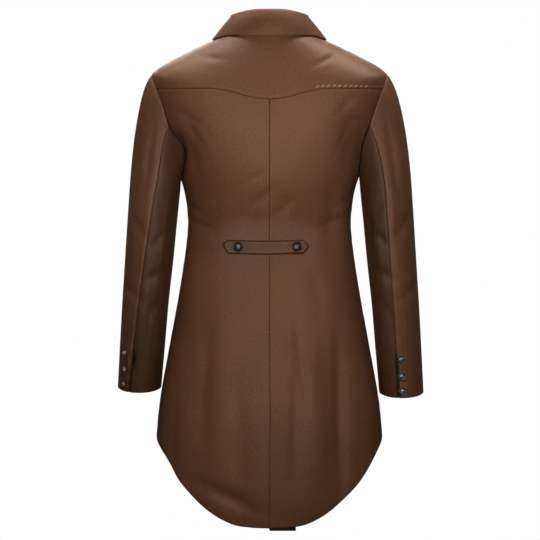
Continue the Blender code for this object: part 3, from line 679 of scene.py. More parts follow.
def turned_up(sheet):
    """The same sheet carried on round its lower edge and up inside, as a hem is turned."""
    climb = edge_distances(sheet.points)["bottom"].mean(axis=1)
    rows = int(np.sum(climb < HEM_DEPTH))
    points, out, weave, seam = (edge_first(grid, "bottom")[:rows] for grid in sheet[:4])
    down = unit(points[0] - points[1])
    fold = points[0] - out[0] * HEM_LIFT / 2 + down * HEM_LIFT / 3
    mirrored = weave * (1, -1)
    mirrored[..., 1] += 2 * weave[0, :, 1]
    runs = ((fold, points - out * HEM_LIFT), (out[0], out), (weave[0], mirrored), (seam[0], seam))
    added = (np.concatenate([first[None], rest])[::-1] for first, rest in runs)
    return grown(sheet, "bottom", *added)


# Shader arithmetic

class Wire:
    """A socket that takes part in plain arithmetic."""

    def __init__(self, socket):
        self.socket = socket

    def node(self, kind, settings=None, output=0, **values):
        """Adds a node of any kind: its settings first, then its sockets' values or links."""
        tree = self.socket.id_data
        made = tree.nodes.new(kind)
        for key, value in (settings or {}).items():
            setattr(made, key, value)
        for key, value in values.items():
            socket = made.inputs[int(key[1:]) if key[0] == "_" else key.replace("_", " ")]
            if isinstance(value, Wire):
                tree.links.new(value.socket, socket)
            else:
                socket.default_value = value
        return Wire(made.outputs[output])

    def maths(self, operation, first, second=0.0):
        return self.node("ShaderNodeMath", {"operation": operation}, _0=first, _1=second)

    def __add__(self, other):
        return self.maths("ADD", self, other)

    def __sub__(self, other):
        return self.maths("SUBTRACT", self, other)

    def __rsub__(self, other):
        return self.maths("SUBTRACT", other, self)

    def __mul__(self, other):
        return self.maths("MULTIPLY", self, other)

    __radd__, __rmul__ = __add__, __mul__

    def sine(self):
        return self.maths("SINE", self)

    def between(self, low, high):
        """0 at low and 1 at high, held outside."""
        return self.node(
            "ShaderNodeMapRange", {"interpolation_type": "SMOOTHSTEP"}, _0=self, _1=low, _2=high
        )

    def blend(self, low, high):
        """A colour between two, by this value."""
        return self.node(
            "ShaderNodeMix", {"data_type": "RGBA"}, output=2, _0=self, _6=low, _7=high
        )

    def tint(self, low, high):
        return self.blend((*low, 1.0), (*high, 1.0))

    def part(self, axis):
        return self.node("ShaderNodeSeparateXYZ", output=axis, Vector=self)

    def scaled(self, x, y, z=1.0):
        return self.node("ShaderNodeMapping", Vector=self, Scale=(x, y, z))

    def noise(self, scale, detail=2.0, roughness=0.5):
        return self.node(
            "ShaderNodeTexNoise", Vector=self, Scale=scale, Detail=detail, Roughness=roughness
        )


class Finish:
    """A material: its shader, its coordinates and what is linked to the shader."""

    def __init__(self, name, **constants):
        self.material = bpy.data.materials.new(name)
        self.material.use_nodes = True
        self.tree = self.material.node_tree
        self.shader = self.tree.nodes["Principled BSDF"]
        for key, value in constants.items():
            self.shader.inputs[key.replace("_", " ")].default_value = value
        self.anchor = Wire(self.shader.outputs[0])

    def object_place(self):
        return self.anchor.node("ShaderNodeTexCoord", output="Object")

    def map(self, name):
        return self.anchor.node("ShaderNodeUVMap", {"uv_map": name})

    def link(self, **wires):
        for key, wire in wires.items():
            self.tree.links.new(wire.socket, self.shader.inputs[key.replace("_", " ")])

    def bump(self, height):
        """Height is in metres."""
        return self.anchor.node("ShaderNodeBump", Strength=1.0, Distance=1.0, Height=height)


TURN = 2 * np.pi
BLACK = (0.0, 0.0, 0.0, 1.0)

# Twill: its pitches and the scales of its noises, then how much each shades or raises it
RIB_PITCH = 0.00115         # one diagonal rib of the twill to the next
RIB_SLOPE = 0.62
RIB_STRAY = 0.0006          # how far a rib wanders aside
FLOAT_PITCH = 0.0021
FLOAT_SWAY = 0.8            # how far the ribs push the floats along, in radians
WANDER_GRAIN, BROAD_GRAIN, CRUMPLE_GRAIN = 55.0, 6.0, 34.0
YARN_GRAIN, SLUB_GRAIN = (900.0, 210.0), (160.0, 620.0)
MIDDLE_SHADE, RIB_SHADE, YARN_SHADE, SLUB_SHADE = 0.52, 0.13, 0.62, 0.56
# Broad tone varies at random; at a seam grime and painted shade darken the cloth, and a painted
# highlight lies beside it
BROAD_SHADE, SEAM_GRIME_AND_SHADE, SEAM_HIGHLIGHT = 0.42, 0.36, 0.16
# Painted shadow: over the vent's underlap strip, and in a cuff vent's opening and along the belt's
# edge
UNDERLAP_SHADOW, EDGE_SHADOW = 0.86, 0.80
BROAD_ROUGHNESS, RIB_ROUGHNESS, SEAM_ROUGHNESS = 0.10, 0.03, 0.10
RIB_RISE, FLOAT_RISE, YARN_RISE, CRUMPLE_RISE = 0.00005, 0.00003, 0.00006, 0.00034

# Bands beside a seam, from it in metres: darkened by grime and painted shade, painted shadow in an
# opening, and a painted highlight beside the seam
SEAM_BAND, EDGE_SHADOW_BAND = (0.0003, 0.0020), (-0.0026, 0.0004)
SEAM_HIGHLIGHT_BAND, SEAM_HIGHLIGHT_END = (0.0012, 0.0026), (0.0026, 0.0050)

# Metal and thread
PATINA_GRAIN, SCRATCH_GRAIN = 420.0, (900.0, 2600.0, 900.0)
PATINA_RISE, SCRATCH_RISE = 0.00004, 0.00002
PATINA_SHADE = 0.5
METAL_ROUGHNESS, RUBBED_ROUGHNESS, SCRATCH_ROUGHNESS = 0.46, 0.22, 0.12
RUBBED = (0.22, 0.85)       # from tarnished to rubbed bright
TARNISH, BRIGHT_METAL = (0.032, 0.024, 0.018), (0.690, 0.640, 0.580)
WEAR_GRAIN, PLY_GRAIN, PLY_RISE = 160.0, (2600.0, 900.0, 2600.0), 0.00006


def twill(name, dark, light, roughness, sheen):
    """Fine diagonal twill: ribs, the floats along them, uneven yarn and soft wear, with grime and
    painted shade at seams, a painted highlight beside them, and painted shadow under the underlap and
    in openings.
    """
    cloth = Finish(
        name,
        Specular_IOR_Level=0.50,
        Specular_Tint=(1.0, 0.72, 0.50, 1.0),
        Sheen_Weight=sheen,
        Sheen_Roughness=0.40,
        Sheen_Tint=(0.80, 0.46, 0.30, 1.0),
    )
    weave = cloth.map("weave")
    across, down = weave.part(0), weave.part(1)
    place = cloth.object_place()
    edges = cloth.map("edges")
    seam, underlap_shadow = edges.part(0), edges.part(1)

    wander = weave.noise(WANDER_GRAIN) - 0.5
    rib = ((across + down * RIB_SLOPE + wander * RIB_STRAY) * (TURN / RIB_PITCH)).sine()
    floats = ((across * -RIB_SLOPE + down) * (TURN / FLOAT_PITCH) + rib * FLOAT_SWAY).sine()
    yarn = weave.scaled(*YARN_GRAIN).noise(1.0) - 0.5
    slub = weave.scaled(*SLUB_GRAIN).noise(1.0, 1.0) - 0.5
    broad = place.noise(BROAD_GRAIN, 3.0) - 0.5
    crumple = place.noise(CRUMPLE_GRAIN, 3.0, 0.55) - 0.5
    at_seam = 1 - seam.between(*SEAM_BAND)
    # Painted shadow where the distance to the seam is pushed below nought, in a cuff vent and along
    # the belt's edge
    deep = 1 - seam.between(*EDGE_SHADOW_BAND)
    seam_highlight = seam.between(*SEAM_HIGHLIGHT_BAND) * (1 - seam.between(*SEAM_HIGHLIGHT_END))

    # Random tone, with grime and painted shade at the seams and a painted highlight beside them
    tone_and_seam_light = broad * BROAD_SHADE - at_seam * SEAM_GRIME_AND_SHADE + seam_highlight * SEAM_HIGHLIGHT
    shade = MIDDLE_SHADE + rib * RIB_SHADE + yarn * YARN_SHADE + slub * SLUB_SHADE + tone_and_seam_light
    tint = shade.between(0.0, 1.0).tint(dark, light)
    # Painted shadow, blended towards black: over the underlap strip and in openings
    painted_shade = underlap_shadow * UNDERLAP_SHADOW + deep * EDGE_SHADOW
    height = rib * RIB_RISE + floats * FLOAT_RISE + yarn * YARN_RISE + crumple * CRUMPLE_RISE
    cloth.link(
        Base_Color=painted_shade.blend(tint, BLACK),
        Roughness=(
            roughness + broad * BROAD_ROUGHNESS - rib * RIB_ROUGHNESS + at_seam * SEAM_ROUGHNESS
        ),
        Normal=cloth.bump(height),
    )
    return cloth.material


def aged_metal():
    """Antiqued silver-grey metal: dark in its hollows, rubbed bright on its crests."""
    metal = Finish("antiqued_metal", Metallic=1.0)
    place = metal.object_place()
    height = metal.map("relief").part(0)
    patina = place.noise(PATINA_GRAIN, 4.0, 0.6)
    scratches = place.scaled(*SCRATCH_GRAIN).noise(1.0) - 0.5
    bright = (height + (patina - 0.5) * PATINA_SHADE).between(*RUBBED)
    metal.link(
        Base_Color=bright.tint(TARNISH, BRIGHT_METAL),
        Roughness=METAL_ROUGHNESS - bright * RUBBED_ROUGHNESS + scratches * SCRATCH_ROUGHNESS,
        Normal=metal.bump(patina * PATINA_RISE + scratches * SCRATCH_RISE),
    )
    return metal.material


# Making the pieces

STITCH = 0.0030             # one stitch to the next
THREAD = 0.0010
STITCH_COVER = 0.41         # half a stitch's length, as a share of the pitch
STITCH_RAISE = 0.12         # how far its middle stands off the cloth, in threads
TOPSTITCH_INSET = 0.0038
FRONT_STITCH_INSET = 0.0060
BELT_STITCH_INSET = 0.0034
BOLD_STITCH, BOLD_THREAD, BOLD_SLANT = 0.0108, 0.0024, 26.0
BOLD_STITCH_START, BOLD_STITCH_END = -0.085, -0.186


def finished(bm, name):
    """An object of what the bmesh holds, shaded smooth."""
    mesh = bpy.data.meshes.new(name)
    bm.to_mesh(mesh)
    bm.free()
    mesh.shade_smooth()
    return bpy.data.objects.new(name, mesh)


def dress(piece, nodes, slot, *materials):
    """Puts a finished piece in the scene, riding with the frame in place of its nodes."""
    bpy.context.scene.collection.objects.link(piece)
    for material in materials:
        piece.data.materials.append(material)
    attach(piece, "root")
    if nodes:
        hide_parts(*nodes)


def add_grid(bm, sheet):
    """A flat grid moved point by point onto the sheet, with its maps of weave and edges."""
    rows, columns = sheet.points.shape[0] - 1, sheet.points.shape[1] - 1
    made = bmesh.ops.create_grid(bm, x_segments=columns, y_segments=rows, size=0.5)
    weave, edges = bm.loops.layers.uv["weave"], bm.loops.layers.uv["edges"]
    spots = {}
    for vert in made["verts"]:
        spot = round((0.5 - vert.co.y) * rows), round((vert.co.x + 0.5) * columns)
        spots[vert] = spot
        vert.co = sheet.points[spot]
    faces = list({face for vert in made["verts"] for face in vert.link_faces})
    for face in faces:
        for loop in face.loops:
            spot = spots[loop.vert]
            loop[weave].uv = sheet.weave[spot]
            # The edges map holds the distance to the nearest seam, which sets painted seam shade, and
            # the sheet's painted shadow
            loop[edges].uv = (sheet.seam[spot], sheet.shade)
    if sheet.turned:
        bmesh.ops.reverse_faces(bm, faces=faces)


def stitches(name, runs, pitch=STITCH, thick=THREAD, slant=0.0, material=None, rise=WALL / 2):
    """Rows of single stitches, each a small lozenge of thread half sunk in the cloth."""
    bm = bmesh.new()
    for points, out in runs:
        along = np.pad(np.cumsum(np.linalg.norm(np.diff(points, axis=0), axis=1)), (1, 0))
        middles = np.arange(pitch / 2, along[-1], pitch)
        starts, places, ends, ways = (
            np.stack([np.interp(spots, along, grid[:, axis]) for axis in range(3)], axis=-1)
            for spots, grid in (
                (middles - pitch / 4, points), (middles, points), (middles + pitch / 4, points),
                (middles, out),
            )
        )
        for place, along_it, way in zip(places, unit(ends - starts), unit(ways)):
            side = np.cross(way, along_it)
            turn = np.radians(slant)
            length = along_it * np.cos(turn) + side * np.sin(turn)
            width = side * np.cos(turn) - along_it * np.sin(turn)
            long, wide, deep = length * pitch * STITCH_COVER, width * thick / 2, way * thick / 2
            middle = place + way * (rise + thick * STITCH_RAISE)
            lie = Matrix((*zip(long, wide, deep, middle), (0, 0, 0, 1)))
            bmesh.ops.create_icosphere(bm, subdivisions=1, radius=1.0, matrix=lie)
    dress(finished(bm, name), [], "jacket_cloth", material or thread)


def cloth_piece(node, sheets, rests_on, wall=WALL, face=None):
    """One cut piece: its sheets are joined where their edges meet, then given a wall."""
    bm = bmesh.new()
    bm.loops.layers.uv.new("weave")
    bm.loops.layers.uv.new("edges")
    for sheet in sheets:
        add_grid(bm, sheet)
    if len(sheets) > 1:
        bmesh.ops.remove_doubles(bm, verts=bm.verts, dist=CLOSE)
    area = sum(face.calc_area() for face in bm.faces)
    piece = finished(bm, node + "_cloth")
    dress(piece, [node], "jacket_cloth", face or right_side, wrong_side)
    solid = piece.modifiers.new("Wall", "SOLIDIFY")
    solid.thickness = wall
    solid.offset = 0.0
    solid.material_offset = 1
    distance = edge_distances(sheets[0].points)
    width = float(distance["left"][:, -1].max())
    length = max(float(distance["top"][-1].max()), area / width)
    rests_on = [other + "_cloth" for other in rests_on]


def sewing_thread(name, dark, light):
    """Twisted thread, a little lighter than the cloth and rubbed unevenly."""
    cord = Finish(name, Specular_IOR_Level=0.4, Specular_Tint=(1.0, 0.75, 0.55, 1.0))
    place = cord.object_place()
    wear = place.noise(WEAR_GRAIN)
    ply = place.scaled(*PLY_GRAIN).noise(1.0, 1.0)
    cord.link(
        Base_Color=(wear * 0.6 + ply * 0.4).tint(dark, light),
        Roughness=0.48 + ply * 0.2,
        Normal=cord.bump(ply * PLY_RISE),
    )
    return cord.material


right_side = twill("jacket_twill", (0.043, 0.0158, 0.0066), (0.230, 0.0905, 0.0405), 0.50, 0.03)
# The under sleeves use a darker copy of the twill: painted shade where the body shades them
shaded_under_sleeve_side = twill(
    "under_sleeve_twill_painted_shade", (0.025, 0.0088, 0.0038), (0.112, 0.0425, 0.0195), 0.52, 0.03
)
half_belt_side = twill(
    "half_belt_twill", (0.032, 0.0108, 0.0048), (0.150, 0.054, 0.0235), 0.46, 0.03
)
wrong_side = twill("twill_wrong_side", (0.022, 0.0095, 0.0055), (0.090, 0.042, 0.025), 0.70, 0.05)
thread = sewing_thread("brown_thread", (0.110, 0.054, 0.032), (0.290, 0.160, 0.102))
# Tan thread made light to stand in for highlights on the puckered yoke seam: partly thread colour,
# partly painted highlight
highlight_tan_thread = sewing_thread("tan_thread_painted_highlight", (0.260, 0.145, 0.090), (0.560, 0.390, 0.280))
metal = aged_metal()


# Back, yoke and fronts

def back_places():
    bottom = hem_run(0.0, SIDE_ANGLE, BACK_COLUMNS * FINE)
    outer = chain(armhole_back(), side_seam())
    return near_edges(patch(yoke_seam(), bottom, middle_back(), outer))


def vent_lift(places, over):
    """Below the top of the vent one half stands a little proud, and the other dips under it."""
    points = form(places[..., 0], places[..., 1])
    amount = LAP / 2 * ramp(VENT_TOP, VENT_TOP - VENT_OPENING, points[..., 2])
    if not over:
        amount = (amount - LAP) * ramp(VENT_TOP + VENT_STEP, VENT_TOP, points[..., 2])
    return amount * (1 - ramp(0.0, VENT_FLAT, abs(points[..., 0])))


def backs():
    places = back_places()
    rows, columns = places.shape[:2]
    vent_row = ROWS_TO_VENT * FINE + len(EDGE_LINES)
    above_vent = np.where(np.arange(rows) <= vent_row, 1.0, 0.0)
    seams = {"left": above_vent, "right": 1.0, "top": 1.0}

    left = body_cloth(places, vent_lift(places, False))
    left_sheet = relief(left, BODY_MIDDLE, seams, phase=0.4, grain=0)
    right_places = places * (-1, 1)
    right = body_cloth(right_places, vent_lift(right_places, True))
    gape = np.exp(-((right[..., 2] - VENT_GAPE_HEIGHT) / VENT_GAPE_LENGTH) ** 2)
    right[..., 0] -= VENT_GAPE * gape * np.exp(-abs(right[..., 0]) / VENT_GAPE_REACH)
    right_sheet = turned_in(relief(right, BODY_MIDDLE, seams, phase=2.1, grain=0), seams)

    strip = right_places[vent_row:, :UNDERLAP_COLUMNS].copy()
    hem_level = level_at(strip[-1, :, 0], UNDERLAP_HEM)
    drop = ramp(*UNDERLAP_DROP, np.linspace(0, 1, len(strip)))[:, None]
    strip[..., 1] += (hem_level - strip[-1, :, 1])[None] * drop
    under = vent_lift(right_places, True)[vent_row:, :1] - LAP
    strip_points = body_cloth(strip, under)
    strip_points[:, 0] = left_sheet.points[vent_row:, 0]
    strip_sheet = relief(strip_points, BODY_MIDDLE, {}, gap=0.0)

    left_sheet = turned_in(left_sheet, {"left": 1.0})
    left_sheet.points[vent_row:, 0] = strip_points[:, 1]
    left_sheet = turned_in(left_sheet, {"right": 1.0, "top": 1.0})
    # The underlap strip is darkened all over with painted shadow
    strip_sheet = Sheet(*(grid[:, 1:] for grid in strip_sheet[:4]), strip_sheet.turned, 1.0)
    cloth_piece("back_left", [turned_up(left_sheet), turned_up(strip_sheet)], ["yoke"])
    cloth_piece("back_right", [turned_up(right_sheet)], ["yoke"])


def yoke():
    armhole = armhole_place(turns_along(ARMHOLE_YOKE))[::-1]
    side_run = chain(armhole, yoke_seam()[::-1])
    bottom = chain(side_run, side_run[::-1] * (-1, 1))
    neck = pairs(spread(SHOULDER_SEAM_ANGLE, -SHOULDER_SEAM_ANGLE, len(bottom) - 1), 0.0)
    places = near_edges(patch(neck, bottom, shoulder_seam(), shoulder_seam() * (-1, 1)))
    points = body_cloth(places)
    seams = {"left": 1.0, "right": 1.0, "top": 1.0, "bottom": YOKE_SEAM_WEIGHT}
    sheet = relief(points, BODY_MIDDLE, seams, phase=1.3)
    flat = np.stack([sheet.points[..., 0], sheet.points[..., 2] - sheet.points[..., 1]], axis=-1)
    sheet = sheet._replace(weave=flat)
    cloth_piece("yoke", [turned_in(sheet, dict.fromkeys(EDGES, 1.0))], ["collar"])

    armhole_columns = len(armhole) - 1 + len(EDGE_LINES)
    run = line_inside(sheet, "bottom", TOPSTITCH_INSET)[:, armhole_columns:-armhole_columns]
    x = run[0, :, 0]
    bold = (x < BOLD_STITCH_START) & (x > BOLD_STITCH_END)
    first, last = np.flatnonzero(bold)[[0, -1]]
    stitches("yoke_topstitch", [run[:, :first], run[:, last:]])
    # The bold stitches carry a painted highlight in their light tan thread
    bold_run = run[:, first:last + 1]
    stitches("yoke_bold_stitch", [bold_run], BOLD_STITCH, BOLD_THREAD, BOLD_SLANT, highlight_tan_thread)


def front(word, side):
    """One front, from the armhole and side seam to its free edge past the middle."""
    neck_angles = spread(SHOULDER_SEAM_ANGLE, FRONT_EDGE_ANGLE, NECK_COLUMNS * FINE)
    top = chain(shoulder_seam()[::-1], pairs(neck_angles, 0.0))
    bottom = hem_run(SIDE_ANGLE, FRONT_EDGE_ANGLE, len(top) - 1)
    armhole = armhole_place(turns_along(ARMHOLE_UPPER_FRONT, ARMHOLE_LOWER_FRONT))
    outer = chain(armhole, side_seam())
    edge = pairs(FRONT_EDGE_ANGLE, spread(0.0, bottom[-1, 1], len(outer) - 1))
    places = near_edges(patch(top, bottom, outer, edge))
    lifts = side * LAP / 2 * ramp(LAP_START, LAP_END, places[..., 0])
    points = body_cloth(places * (side, 1), lifts)
    seams = {"left": 1.0, "top": 1.0}
    sheet = relief(points, BODY_MIDDLE, seams, phase=0.9 * side, grain=-1)
    turned = turned_in(sheet, {"left": 1.0, "right": 0.0, "top": 1.0})
    node = "front_" + word
    cloth_piece(node, [turned_up(turned)], ["yoke"])
    stitches(node + "_topstitch", [line_inside(sheet, "right", FRONT_STITCH_INSET)])


# Sleeves

def sleeve_section(depth, side):
    """The sleeve's sizes at a share of the way from the biceps to the cuff."""
    section = read_table(SLEEVE, np.asarray(depth, float) * (len(SLEEVE) - 1))
    if side < 0:
        section[0] -= RIGHT_SLEEVE_LONGER * depth
        section[1] += RIGHT_SLEEVE_OUT
        section[3] += RIGHT_SLEEVE_WIDER
        section[5] = mix(*RIGHT_HIND_SEAM, depth)
    return section


def sleeve_point(turn, depth, side, lift=0.0):
    """Points of the sleeve below its head, at a turn round it and a share down it."""
    turn, depth = np.broadcast_arrays(np.asarray(turn, float), np.asarray(depth, float))
    height, centre_x, centre_y, wide, deep, _ = sleeve_section(depth, side)
    sine, cosine = np.sin(np.radians(turn)), np.cos(np.radians(turn))
    height = height - CUFF_TILT * depth ** 2 * cosine
    folds = SLEEVE_FOLDS + (LEFT_CUFF_FOLDS if side > 0 else RIGHT_CUFF_FOLDS)
    fold = fold_depth(folds, (turn + 90) % 360 - 90, height, SLEEVE_REACH)
    out = unit(np.stack([sine / wide, cosine / deep, np.zeros(turn.shape)], axis=-1))
    bare = np.stack([centre_x + wide * sine, centre_y + deep * cosine, height], axis=-1)
    return (bare + out * (fold + lift)[..., None]) * (side, 1, 1)


def head_start(turn, side, ring_points):
    """Where the sleeve's head begins, clear of the armhole's edge, and the way it sets off."""
    place = armhole_place(turn)
    _, middle_level = armhole_place(0.0)
    mirror = (side, 1)
    edge = body_cloth(place * mirror)
    centre = np.array((SIDE_ANGLE, middle_level))
    across = unit(body_cloth(mix(place, centre, INWARD_SHARE) * mirror) - edge)
    height_share = (1 + np.sin(np.radians(turn))) / 2
    swell = np.array((side * HEAD_SWELL_OUT, 0.0, HEAD_SWELL_UP)) * height_share[:, None] ** 2
    way = (ring_points - edge) * HEAD_REACH + swell
    cosine = np.clip(np.sum(across * unit(way), axis=-1), -1, 1)
    bend = np.arccos(cosine)
    outward = form_normal(side * place[:, 0], place[:, 1])
    aside = unit(across + unit(way) + outward * (1 - cosine)[:, None])
    narrow = np.sin(bend / 2) / np.maximum(np.cos(bend / 2), 0.01)
    room = BENT_SEAM_GAP + WALL * np.minimum(1.0, narrow)
    return edge + aside * room[:, None], way


def column_turn(turn, depth, side):
    """Columns' turns further down, as the hind seam works its way outward."""
    hind = sleeve_section(depth, side)[5]
    upper = (turn - HIND_SEAM_START) / (FRONT_SEAM_START - HIND_SEAM_START)
    under = (turn - FRONT_SEAM_START) / (HIND_SEAM_START + 360 - FRONT_SEAM_START)
    return np.where(
        turn <= FRONT_SEAM_START,
        mix(hind, FRONT_SEAM_START, upper),
        mix(FRONT_SEAM_START, hind + 360, under),
    )


def sleeve_grid(turns, side):
    """Rows from the armhole to the cuff, a column for each turn."""
    ring = sleeve_point(column_turn(turns, 0.0, side), 0.0, side)
    below = sleeve_point(column_turn(turns, ARM_STEP, side), ARM_STEP, side)
    start, way = head_start(turns, side, ring)
    arrive = unit(below - ring) * np.linalg.norm(ring - start, axis=1, keepdims=True)
    share = spread(0.0, 1.0, HEAD_ROWS * FINE)[:-1, None, None]
    head = curve(start, way, ring, arrive, share)
    depth = spread(0.0, 1.0, ARM_ROWS * FINE)[:, None]
    arm = sleeve_point(column_turn(turns[None], depth, side), depth, side)
    return np.concatenate([head, arm])


def sleeve(word, side):
    upper_turns = turns_along(ARMHOLE_UPPER_BACK, ARMHOLE_YOKE, ARMHOLE_UPPER_FRONT)
    under_turns = turns_along(ARMHOLE_LOWER_FRONT, ARMHOLE_LOWER_BACK)
    middle = (side * SLEEVE_MIDDLE[0], SLEEVE_MIDDLE[1])
    upper, under = "upper_sleeve_" + word, "under_sleeve_" + word
    for node, turns, hind, hangs_on, face in (
        (upper, upper_turns, "left", "yoke", right_side),
        (under, under_turns, "right", upper, shaded_under_sleeve_side),
    ):
        points = near_edges(sleeve_grid(turns, side))
        height = points[..., 2]
        open_here = ramp(
            CUFF_VENT_TOP, CUFF_VENT_TOP - CUFF_VENT_OPENING, edge_first(height, hind)[0]
        )
        seams = {"left": 1.0, "right": 1.0, "top": 1.0}
        seams[hind] = 1 + CUFF_VENT_DEPTH * open_here
        sheet = relief(points, middle, seams, phase=1.7 * side)
        # Painted shadow down the cuff vent, wider at the left cuff's pinch
        gape = CUFF_VENT_SHADOW * ramp(CUFF_VENT_TOP, CUFF_VENT_TOP - CUFF_SHADOW_OPENING, height)
        if side > 0:
            at_pinch = np.exp(-((height - CUFF_PINCH) / CUFF_PINCH_LENGTH) ** 2)
            gape *= 1 + CUFF_PINCH_SHADOW * at_pinch
        shadow = np.minimum(sheet.seam, edge_distances(points)[hind] - gape)
        sheet = turned_in(sheet._replace(seam=shadow), {"left": 1.0, "right": 1.0})
        sheet = turned_in(sheet, {"top": 1.0}, -HEAD_ALLOWANCE_ACROSS)
        cloth_piece(node, [turned_up(sheet)], [hangs_on], face=face)


# Collar and half belt

def collar_line(angle):
    """The collar's sections round the neck: foot, stand, roll and fall."""
    turn, side = abs(angle), np.sign(angle)
    out = form_normal(angle, np.zeros(angle.shape))
    away = unit(out * (1, 1, 0))
    up = np.array((0.0, 0.0, 1.0))
    frontness = ramp(COLLAR_FRONT_START, COLLAR_END_ANGLE, turn)
    to_side = np.minimum(turn, SIDE_ANGLE)
    sideness = np.sin(np.radians(to_side)) ** 2

    lap_room = (FRAME_HALF_WALL + LAP / 2 * ramp(LAP_START, LAP_END, turn)) * out[:, 2]
    seam_room = mix(COLLAR_SEAM_ROOM, COLLAR_SEAM_ROOM_FRONT, frontness)
    foot = form(angle, 0.0) + up * (FRAME_SEAM_GAP + lap_room + seam_room)[:, None]
    back_top = mix(COLLAR_TOP, COLLAR_TOP_SIDE, ramp(*COLLAR_TOP_SLOPE, turn))
    back_stand = back_top - COLLAR_ROLL - form(to_side, 0.0)[:, 2]
    stand = mix(back_stand, COLLAR_FRONT_STAND, ramp(SIDE_ANGLE, COLLAR_END_ANGLE, turn))
    lean = mix(mix(COLLAR_LEAN_BACK, COLLAR_LEAN_SIDE, sideness), COLLAR_LEAN_FRONT, frontness)
    top = foot + up * stand[:, None] - away * lean[:, None]

    over = top + away * COLLAR_OVER_OUT - up * COLLAR_OVER_DOWN
    back_height = mix(COLLAR_EDGE, COLLAR_EDGE_SIDE, ramp(*COLLAR_EDGE_SLOPE, turn))
    back_level = level_at(to_side, back_height)
    edge_level = mix(back_level, COLLAR_FRONT_EDGE_LEVEL, ramp(SIDE_ANGLE, LAP_END, turn))
    cut_back = COLLAR_POINT_CUT * ramp(COLLAR_POINT_START, COLLAR_END_ANGLE, turn)
    edge_lift = mix(COLLAR_EDGE_LIFT_BACK, COLLAR_LIFT, sideness) + COLLAR_EDGE_LIFT_FRONT * frontness
    edge = body_cloth(pairs(side * (turn - cut_back), edge_level), edge_lift)

    rows = [foot, *(mix(foot, top, share) for share in COLLAR_STAND_ROWS), top]
    for outward, upward in COLLAR_ROLL_ROWS:
        rows.append(top + away * COLLAR_ROLL * outward + up * COLLAR_ROLL * upward)
    for share in COLLAR_FALL_ROWS:
        bow = mix(COLLAR_BOW, COLLAR_BOW_SIDE, sideness) * share * (1 - share) * 4
        rows.append(mix(over, edge, share) + away * bow[:, None] + up * (bow / 2)[:, None])
    return np.stack(rows)


def collar():
    angles = spread(COLLAR_END_ANGLE, -COLLAR_END_ANGLE, COLLAR_COLUMNS)
    points = collar_line(angles)
    sheet = relief(points, NECK_MIDDLE, {}, gap=0.0)
    fall_out, _ = way_out(points[COLLAR_FALL_START:], NECK_MIDDLE)
    if np.sum(fall_out * sheet.out[COLLAR_FALL_START:]) < 0:
        sheet = sheet._replace(out=-sheet.out, turned=not sheet.turned)
    cloth_piece("collar", [sheet], ["yoke"], COLLAR_WALL)
    fall = Sheet(*(grid[COLLAR_FALL_START:] for grid in sheet[:4]), *sheet[4:])
    runs = [line_inside(fall, edge, TOPSTITCH_INSET) for edge in ("bottom", "left", "right")]
    stitches("collar_topstitch", runs, rise=COLLAR_WALL / 2)


def belt_middle(x):
    share = (x - BELT_RIGHT) / (BELT_LEFT - BELT_RIGHT)
    return BELT_MIDDLE - BELT_SAG * 4 * share * (1 - share)


def half_belt():
    """A strap with a point at each end, lying on the small of the back."""
    x = mix(BELT_LEFT, BELT_RIGHT, (1 - np.cos(spread(0, np.pi, BELT_COLUMNS))) / 2)
    from_end = np.minimum(BELT_LEFT - x, x - BELT_RIGHT)
    wide = BELT_HALF_WIDTH * np.minimum(1.0, BELT_BLUNTNESS + from_end / BELT_POINT)
    across = np.sin(spread(-np.pi / 2, np.pi / 2, BELT_ROWS))[:, None]
    middle = belt_middle(x) + np.where(x > 0, BELT_SLANT, 0.0) * (BELT_HALF_WIDTH - wide)
    heights = middle[None] - wide[None] * across
    places = back_place(np.broadcast_to(x, heights.shape), heights)
    flat = np.clip((1 - abs(across)) * wide[None] / BELT_ROUND, 0, 1)
    lift = BELT_LIFT + BELT_END_LIFT * ramp(BELT_END_LENGTH, 0.0, from_end)
    points = body_cloth(places, lift - BELT_ROUND_DROP * (1 - flat) ** 2, fine=False)
    sheet = relief(points, BODY_MIDDLE, {"top": 1.0, "bottom": 1.0}, gap=0.0)
    # Painted shadow along the belt's edges and ends
    from_edge = np.minimum(sheet.seam, from_end * BELT_EDGE_SHADOW_SPREAD)
    sheet = sheet._replace(seam=from_edge - BELT_EDGE_SHADOW)
    cloth_piece("half_belt", [sheet], ["back_left", "back_right"], BELT_WALL, half_belt_side)
    runs = [
        line_inside(sheet, edge, BELT_STITCH_INSET)[:, BELT_STITCH_COLUMN:-BELT_STITCH_COLUMN]
        for edge in ("top", "bottom")
    ]
    stitches("half_belt_topstitch", runs, rise=BELT_WALL / 2)


# Buttons

BUTTON_PROFILE = (
    (0.00, 0.470), (0.10, 0.465), (0.18, 0.430), (0.24, 0.385), (0.34, 0.390), (0.46, 0.372),
    (0.58, 0.335), (0.66, 0.290), (0.70, 0.240), (0.74, 0.225), (0.86, 0.225), (0.90, 0.250),
    (0.95, 0.290), (1.00, 0.260), (1.00, 0.180), (0.94, 0.130), (0.80, 0.100), (0.34, 0.090),
    (0.30, 0.000), (0.00, 0.000),
)
BUTTON_SIDES = 64
DOME_FOOT = 0.29            # above this height a domed button swells; all these are in radii
PETALS, PETAL_RISE = 8, 0.045
ROSETTE_START, ROSETTE_END = 0.20, 0.66
FACE_LEVEL, CREST_LEVEL = 0.20, 0.34
PETAL_SHINE, PETAL_SWING, BOSS_SHINE, BOSS_RADIUS = 0.62, 0.30, 0.30, 0.24
RIM_START, RIM_SHINE = 0.68, 0.6
LEAST_SHINE = 0.1
BEADS, BEAD_RING, BEAD_LEVEL, BEAD_RADIUS = 22, 0.80, 0.245, 0.072


